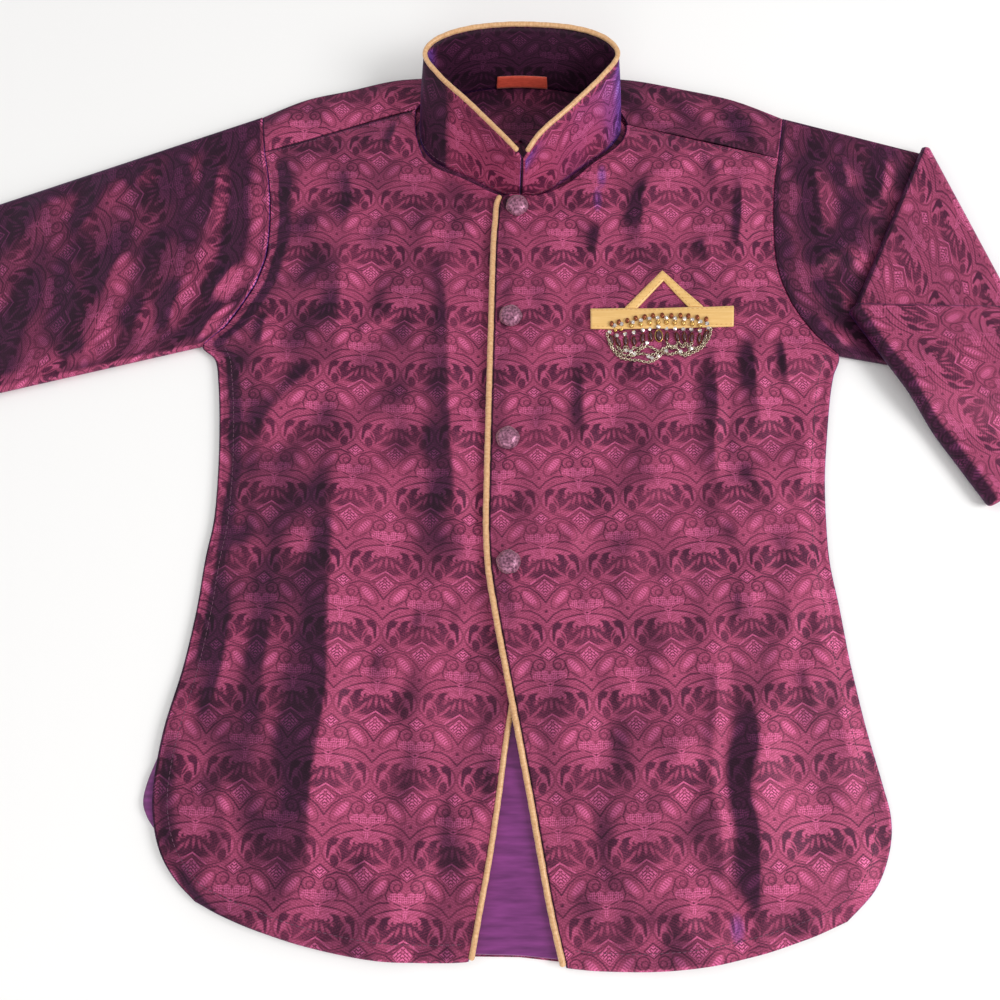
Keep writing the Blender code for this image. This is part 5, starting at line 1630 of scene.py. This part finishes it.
def repeated(name, shape, spots, turns, finish, wobble, seed):
    """One object made of copies of a small shape at spots in mm. The shape itself is used up."""
    made = new_object(name, spots, [])
    stored = made.data.attributes.new("turn", "FLOAT_VECTOR", "POINT")
    stored.data.foreach_set("vector", np.array(turns, dtype=np.float32).reshape(-1))
    modifier = made.modifiers.new("repeat", "NODES")
    modifier.node_group = repeat_tree
    values = {"Shape": shape, "Wobble": wobble, "Seed": seed, "Finish": finish}
    for item in repeat_tree.interface.items_tree:
        if item.name in values:
            modifier[item.identifier] = values[item.name]
    bpy.context.view_layer.update()
    evaluated = made.evaluated_get(bpy.context.evaluated_depsgraph_get())
    result = bpy.data.meshes.new_from_object(evaluated)
    made.modifiers.remove(modifier)
    made.data = result
    bpy.data.objects.remove(shape)
    return made


print("x axis turned to y:", [round(angle, 2) for angle in aim((0, 1, 0), (0, 0, 1))])

# %% beads and rings


def rounded_bead(name, reach_x, reach_y, low, high, sides=8, squash=1.0):
    """A small closed dome: a girdle with a narrower ring and a point above, and a flat underside."""
    turn = np.linspace(0, 2 * pi, sides, endpoint=False)
    power = np.abs(np.sin(turn)) ** squash * np.sign(np.sin(turn))
    rings = []
    for share, height in ((0.72, mix(low, high, 0.8)), (1.0, mix(low, high, 0.3)), (0.75, low)):
        rings.append(np.column_stack([np.cos(turn) * reach_x * share, power * reach_y * share,
                                      np.full(sides, height)]))
    return closed_rings(name, rings, [(0, 0, high), (0, 0, low)])


def small_ring(name, reach_x, reach_y, wire, sides=10, squash=1.0):
    """A ring of wire, round or pointed at its two ends."""
    turn = np.linspace(0, 2 * pi, sides, endpoint=False)
    points = []
    for angle in turn:
        side = abs(sin(angle)) ** squash * (1 if sin(angle) >= 0 else -1)
        middle = np.array((cos(angle) * reach_x, side * reach_y, 0))
        out = np.array((cos(angle), sin(angle), 0))
        for step in range(4):
            way = pi / 2 * step + pi / 4
            points.append(middle + out * cos(way) * wire + np.array((0, 0, sin(way) * wire)))
    faces = []
    for column in range(sides):
        following = (column + 1) % sides
        for step in range(4):
            other = (step + 1) % 4
            faces.append((column * 4 + step, following * 4 + step,
                          following * 4 + other, column * 4 + other))
    return new_object(name, points, faces)


print("beads and rings are drawn about their own middle")

# %% [markdown]
# ## Finishes
# Satin is smooth because long threads float on its face, so its shading runs in faint streaks. Tape
# shows a rib. The covered buttons use a finer shot silk. Gilt brass and silver wire keep the metal's
# own reflectance, and the red drops are dark glass on foil.

# %% plain cloths and metals


def streaked(name, code, other_code, scale, roughness, metallic=0.0, sheen=0.3, source="grain", depth=0.5):
    """A finish whose colour wanders between two codes in streaks. scale is (across, along) per mm."""
    made, tree, shader = new_material(name)
    if source == "grain":
        place = node(tree, "ShaderNodeUVMap", uv_map="grain").outputs[0]
    else:
        place = node(tree, "ShaderNodeTexCoord").outputs["Object"]
    stretched = node(tree, "ShaderNodeMapping", place,
                     named={"Scale": (scale[0] / MM, scale[1] / MM, scale[0] / MM)})
    noise = node(tree, "ShaderNodeTexNoise", stretched, named={"Scale": 1.0, "Detail": 3.0})
    share = node(tree, "ShaderNodeMapRange", noise, 0.5 - depth / 2, 0.5 + depth / 2)
    tint = node(tree, MIX, share, colour(code), colour(other_code), data_type="RGBA")
    tree.links.new(tint.outputs[2], shader.inputs["Base Color"])
    for key, value in (("Roughness", roughness), ("Metallic", metallic), ("Sheen Weight", sheen)):
        shader.inputs[key].default_value = value
    return made


lining_silk = streaked("lining_silk", "561054", "84307e", (0.05, 0.4), 0.36, 0.1)
beige_satin = streaked("beige_satin", "bf8a58", "e4b888", (0.5, 0.8), 0.38)
gold_satin = streaked("gold_satin", "d8a95e", "ebc07c", (0.06, 0.9), 0.4, depth=0.6)
orange_tape = streaked("orange_tape", "c23a22", "e0523a", (0.3, 2.0), 0.6)
# The button silk's pale speckles are painted glints on its dark ground.
button_silk = streaked("button_silk", "4a1c38", "b87694", (0.75, 0.75), 0.34, 0.35, source="object",
                       depth=0.34)
gilt_brass = streaked("gilt_brass", "c79a52", "e2bf7c", (0.4, 0.4), 0.28, 1.0, 0.0, "object")
silver_wire = streaked("silver_wire", "98846a", "efe2ca", (0.4, 0.4), 0.26, 1.0, 0.0, "object")
plum_thread = streaked("plum_thread", "4a1a38", "6a2a50", (0.5, 0.5), 0.6, source="object")
gold_thread = streaked("gold_thread", "b98848", "d2a664", (0.5, 0.5), 0.6, source="object")
copper_bead = streaked("copper_bead", "6e3226", "a8623c", (0.5, 0.5), 0.25, 0.8, 0.0, "object")
clear_stone = streaked("clear_stone", "c4b8b4", "fffaf4", (0.6, 0.6), 0.08, 0.85, 0.0, "object")
red_glass = streaked("red_glass", "32101c", "5a1c2e", (0.4, 0.4), 0.12, 0.2, 0.0, "object")
red_glass.node_tree.nodes["Principled BSDF"].inputs["Coat Weight"].default_value = 0.8
print("materials so far:", len(bpy.data.materials))

# %% [markdown]
# ## The pocket's jewel
# A brooch-like swag is sewn on the welt. Curved rows of copper beads, gilt beads and clear stones lie
# along it. A red drop in a copper frame hangs under each stone, the middle one in a gilt frame, and
# silver chains with a few more stones loop below. The chart gives each spot as a plan point.

# %% chart of the jewel
BEAD_SPOTS = [(53.1, 76.1), (57.3, 77.2), (62.3, 78.2), (67.2, 79.7), (72.4, 80.7), (77.3, 81.5),
              (82.8, 81.7), (88, 81.5), (93.2, 81.4), (97.7, 81), (102.9, 80), (108, 79)]
GILT_SPOTS = [(55.4, 73.1), (58.8, 73.8), (64.6, 75.1), (70.1, 76.1), (75.3, 77), (80.2, 77.4),
              (85.1, 77.6), (89.9, 77.2), (94.8, 76.9), (99.8, 76.2), (104.2, 75.2)]
STONE_SPOTS = [(52, 71.7), (55.9, 69.5), (60.9, 70.5), (66, 71.5), (71.2, 73), (75.5, 73.9),
               (80.1, 74.4), (85.3, 74.3), (90.1, 74.3), (95, 73.9), (99.5, 73.4), (104.3, 72.6),
               (109.3, 74.3), (58.8, 76), (65.2, 77), (75.1, 79.4), (79.9, 79.8), (84.9, 79.9),
               (90.1, 79.6), (95.4, 79.3), (70.3, 78.4), (99.9, 78.5), (104.5, 77.4), (108.4, 76.4),
               (54.6, 75), (61.1, 60.4), (63.8, 59.7), (65.8, 58.1), (73.3, 64.9),
               (73.9, 56.2), (76, 55.2), (79.4, 56.5), (84.1, 59.8), (92.5, 59.3), (98.6, 61.2)]
DROPS = [((52.3, 69.8), (53.6, 64)), ((56, 68.2), (57.6, 63)), ((61.1, 69.2), (61.2, 63.3)),
         ((65.8, 69.8), (66.2, 62.4)), ((71.5, 71.5), (70.6, 64.6)), ((75.8, 72.4), (75.8, 65.9)),
         ((85.5, 72.4), (84.9, 65.3)), ((90.6, 72.4), (91.8, 65.3)), ((95.3, 72.4), (95.5, 65.3)),
         ((99.9, 71.7), (99.1, 64.6)), ((104.3, 71), (103.5, 64.9)), ((108.6, 72.8), (106.8, 67.2))]
CENTRE_DROP = ((80.4, 73.2), (80.6, 65.8))
CHAINS = [
    [(51.3, 66.9), (54.4, 60.7), (59.8, 57.5), (64, 57.8), (68.3, 60.1), (73.3, 62.7), (78, 60.7),
     (80.7, 59.7), (84.1, 61.9), (89, 62.5), (92.5, 59.3), (95.7, 58.1), (98.6, 61.2), (102.9, 62.1),
     (106.1, 65.3), (107.8, 69.8)],
    [(50.2, 70.6), (52.6, 62.4), (57.4, 56.4), (63.3, 54.6), (68.1, 54.1), (72.9, 52.8), (76.5, 53.6),
     (79.7, 56), (82.8, 58.6), (86.4, 57.5), (90.3, 58.6), (95.2, 57), (99.8, 59), (104.8, 62),
     (109.4, 68.2), (111, 74.4)],
    [(64.2, 56.6), (67, 57.8), (70.7, 58.1), (74.3, 57.1), (77.9, 58.1), (80.4, 59.4)],
    [(56, 62.6), (59.2, 60), (61.2, 63), (63.4, 59.9), (66.2, 62.2), (69, 61.4), (70.6, 64.2)],
    [(84.9, 64.9), (88.2, 61.4), (91.8, 65), (93.8, 62), (95.5, 65), (97.2, 62.2), (99.1, 64.4)],
]
print("beads, gilt beads, stones, drops:", len(BEAD_SPOTS), len(GILT_SPOTS), len(STONE_SPOTS), len(DROPS))

# %% jewel


def pocket_level(x, y):
    """Height of the cloth or of the welt under a plan point of the jewel."""
    return max(left_height(x, y), welt_height(x, y, -1.0))


def at_level(spots, lift):
    """Plan points raised to the cloth under them plus a lift."""
    return [(x, y, pocket_level(x, y) + lift) for x, y in spots]


def drop_places(pairs, lift):
    """Middles and angles of drops given by their two ends."""
    middles = [((ax + bx) / 2, (ay + by) / 2) for (ax, ay), (bx, by) in pairs]
    turns = [aim((bx - ax, by - ay, 0), (0, 0, 1)) for (ax, ay), (bx, by) in pairs]
    return at_level(middles, lift), turns


def lying(spots, lift, turn=0.0):
    """Spots and angles of beads that lie flat, turned by degrees."""
    return at_level(spots, lift), [(0.0, 0.0, radians(turn))] * len(spots)


row_of_drops = drop_places(DROPS, 0.5)
centre = drop_places([CENTRE_DROP], 0.6)
JEWEL = [
    # name, shape, its spots and angles, finish, wobble, seed
    ("jewel_beads", rounded_bead("bead", 1.9, 1.3, -0.5, 1.5), lying(BEAD_SPOTS, 0.5, 84), copper_bead,
     0.2, 41),
    ("jewel_gilt_beads", rounded_bead("gilt_bead", 1.4, 1.7, -0.4, 1.5), lying(GILT_SPOTS, 0.4), gilt_brass,
     0.2, 42),
    ("jewel_stones", rounded_bead("stone", 1.5, 1.5, -0.6, 1.4, 7), lying(STONE_SPOTS, 0.6), clear_stone,
     0.35, 43),
    ("jewel_drops", rounded_bead("drop", 3.2, 1.15, -0.4, 1.2, 10, 1.4), row_of_drops, red_glass, 0.04, 44),
    ("jewel_frames", small_ring("frame", 3.4, 1.35, 0.22, 12, 1.4), row_of_drops, copper_bead, 0.04, 44),
    ("jewel_centre", rounded_bead("centre", 3.5, 1.9, -0.4, 1.7, 14, 1.1), centre, red_glass, 0.0, 1),
    ("jewel_centre_frame", small_ring("centre_frame", 3.8, 2.2, 0.34, 16, 1.1), centre, gilt_brass, 0.0, 1),
]
jewel = [repeated(name, shape, *places, finish, wobble, seed)
         for name, shape, places, finish, wobble, seed in JEWEL]
jewel[2].data.shade_flat()
print("jewel faces without its chains:", sum(len(part.data.polygons) for part in jewel))

# %% chains
LINK_PITCH = 1.3
LINK_LIFT = 0.9
link_spots = []
link_turns = []
for chain in CHAINS:
    smoothed = curve_through(chain, np.linspace(0, len(chain) - 1, 12 * len(chain)))
    places = along(smoothed, np.linspace(0, 1, max(4, round(length_gone(smoothed)[-1] / LINK_PITCH))))
    heading = np.gradient(places, axis=0)
    for number, ((x, y), (ahead_x, ahead_y)) in enumerate(zip(places, heading)):
        roll = (0, 0, 1) if number % 2 else (-ahead_y, ahead_x, 0.6)
        link_spots.append((x, y, pocket_level(x, y) + LINK_LIFT))
        link_turns.append(aim((ahead_x, ahead_y, 0), roll))
jewel.append(repeated("jewel_chains", small_ring("link", 1.1, 0.72, 0.25, 8), link_spots, link_turns,
                      silver_wire, 0.15, 45))
print("chain links:", len(link_spots))

# %% [markdown]
# ## Sewing
# A lock stitch shows as a row of short thread dashes, about nine to the inch, each sunk at its ends.
# Rows run beside the hem, the armholes, the yoke seams, the collar's foot, the cuffs and the pocket.

# %% rows of stitches
STITCH = 2.1
STITCH_PITCH = 2.8


def stitch_row(line, level=None, lift=0.12):
    """Spots and angles of stitches along a line of points; level gives heights for plan points."""
    line = np.asarray(line, float)
    count = max(2, round(length_gone(line)[-1] / STITCH_PITCH))
    places = along(line, np.linspace(0, 1, count + 1)[:-1] + 0.5 / count)
    if level:
        places = np.array([(x, y, level(x, y)) for x, y in places[:, :2]])
    heading = np.gradient(places, axis=0)
    places[:, 2] += lift
    return [(tuple(spot), aim(ahead, (0, 0, 1))) for spot, ahead in zip(places, heading)]


def inset(line, distance, inside):
    """A plan line moved towards a point inside, without the bits that come too near its border."""
    line = np.asarray(line, float)[:, :2]
    heading = np.gradient(line, axis=0)
    heading /= np.linalg.norm(heading, axis=1)[:, None]
    sideways = np.column_stack([-heading[:, 1], heading[:, 0]])
    middle = len(line) // 2
    if np.dot(sideways[middle], np.array(inside) - line[middle]) < 0:
        sideways = -sideways
    moved = line + sideways * distance
    return np.array([spot for spot in moved
                     if np.linalg.norm(line - spot, axis=1).min() > distance * 0.93])


def sewn(name, stitch, rows, thread, seed):
    """A row of stitches as one object, from the spots and angles of its stitches."""
    return repeated(name, stitch, [spot for spot, _ in rows], [turn for _, turn in rows], thread, 0.03, seed)


print("stitches to the inch:", round(25.4 / STITCH_PITCH, 1))

# %% sewing the coat
rows = []
for top, level, inside in ((right_top, right_height, (-90, -60)), (left_top, left_height, (90, -60))):
    border = np.concatenate([top[FRONT_STEPS * 9:, 0], top[-1, 1:]])
    rows += stitch_row(inset(border, 8, inside)[3:-3], level)
    rows += stitch_row(inset(top[3:FRONT_STEPS * 7, 0], 1.4, inside), level)
    rows += stitch_row(inset(top[0, 3:-3], 1.8, inside), level)
for skin in (sleeve_right_skin, sleeve_left_skin):
    cuff = skin[:, 3:TOP_SIDES - 2]
    from_end = np.linalg.norm(cuff[-1, 30] - cuff[:, 30], axis=1)
    rows += stitch_row(cuff[int(np.argmin(np.abs(from_end - 18)))])
cloth_stitches = sewn("cloth_stitches", rounded_bead("stitch", STITCH / 2, 0.24, -0.12, 0.16, 6), rows,
                      plum_thread, 46)
print("stitches in the cloth:", len(rows))

# %% sewing the collar and the pocket
foot = collar_outer[1]
foot_rows = []
places = along(foot, np.linspace(0.02, 0.98, round(round_gone[-1] / STITCH_PITCH)))
for spot, ahead in zip(places, np.gradient(places, axis=0)):
    outward = Vector((ahead[1], -ahead[0], 0)).normalized()
    if outward.dot(Vector((spot[0] - COLLAR_MEET, spot[1] - 200, 0))) < 0:
        outward = -outward
    foot_rows.append((tuple(np.array(spot) + np.array(outward) * 0.12), aim(ahead, outward)))
collar_stitches = sewn("collar_stitches", rounded_bead("stitch", STITCH / 2, 0.22, -0.1, 0.14, 6),
                       foot_rows, plum_thread, 47)
rows = []
for grid, at in ((welt_top, 1), (welt_top, -2), (point_top, 1), (point_top, -2)):
    rows += stitch_row(grid[at], lift=0.08)
pocket_stitches = sewn("pocket_stitches", rounded_bead("stitch", 0.85, 0.17, -0.08, 0.12, 6), rows,
                       gold_thread, 48)
print("stitches at the collar and the pocket:", len(foot_rows), len(rows))

# %% [markdown]
# ## Finishing
# Every piece gets its cloth, its place in the model and the solid that it stands for. The cut of each
# sheet is its flat size before it was folded or rounded, as it would lie on the cutting table.

# %% pieces and their solids
back_cloth = shot_brocade("back_brocade", by_object=True)


def finish_piece(obj, node_name, made):
    """Gives a piece its cloth and ties it to the solid that it stands for."""
    if made:
        obj.data.materials.clear()
        obj.data.materials.append(made)
    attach(obj, "root")
    if node_name:
        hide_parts(node_name)


CLOTHS = [
    # cloth, slot and its pieces: each is named after its solid with one word more
    (brocade, "brocade", [front_right, front_left, yoke_right, yoke_left, sleeve_right, sleeve_left]),
    (collar_cloth, "brocade", [collar]),
    (facing_cloth, "brocade", [neck_facing]),
    (lining_silk, "lining", [back_lining]),
    (beige_satin, "piping", [collar_piping, front_right_piping, front_left_piping]),
    (orange_tape, "label", [label]),
    (gold_satin, "pocket_silk", [pocket_welt, pocket_point]),
    (button_silk, "button_cloth", buttons),
]
for cloth, slot_name, group in CLOTHS:
    for piece in group:
        finish_piece(piece, piece.name.rsplit("_", 1)[0], cloth)
for part in jewel:
    finish_piece(part, "pocket_jewel", None)
for part in (cloth_stitches, collar_stitches):
    finish_piece(part, None, None)
finish_piece(pocket_stitches, None, None)
NODES["back"].data.materials.clear()
NODES["back"].data.materials.append(back_cloth)
print("pieces with a cloth of their own:", sum(len(group) for _, _, group in CLOTHS))

# %% the cut of each piece
CUTS = [
    # piece, flat width and length in mm, flat area in square metres, how it is held, what it rests on
    (front_right, 204, 533, 0.0768, "laid", ["back", "back_lining_silk"]),
    (front_left, 214, 532, 0.0809, "laid", ["back", "back_lining_silk", "front_right_cloth"]),
    (yoke_right, 59, 123, 0.0058, "laid", ["front_right_cloth"]),
    (yoke_left, 67, 126, 0.0067, "laid", ["front_left_cloth"]),
    (sleeve_right, 331, 351, 0.0799, "folded", ["back"]),
    (sleeve_left, 340, 380, 0.0904, "folded", ["back"]),
    (collar, 317, 48, 0.0118, "hung", ["front_right_cloth", "front_left_cloth"]),
    (neck_facing, 344, 66, 0.0087, "laid", ["back"]),
    (back_lining, 384, 153, 0.0499, "laid", ["back"]),
    (pocket_welt, 84, 13, 0.00103, "laid", ["front_left_cloth"]),
]
for piece, wide, long, area, held, under in CUTS:
    print(piece.name, "cut", wide, "x", long, "mm,", held)
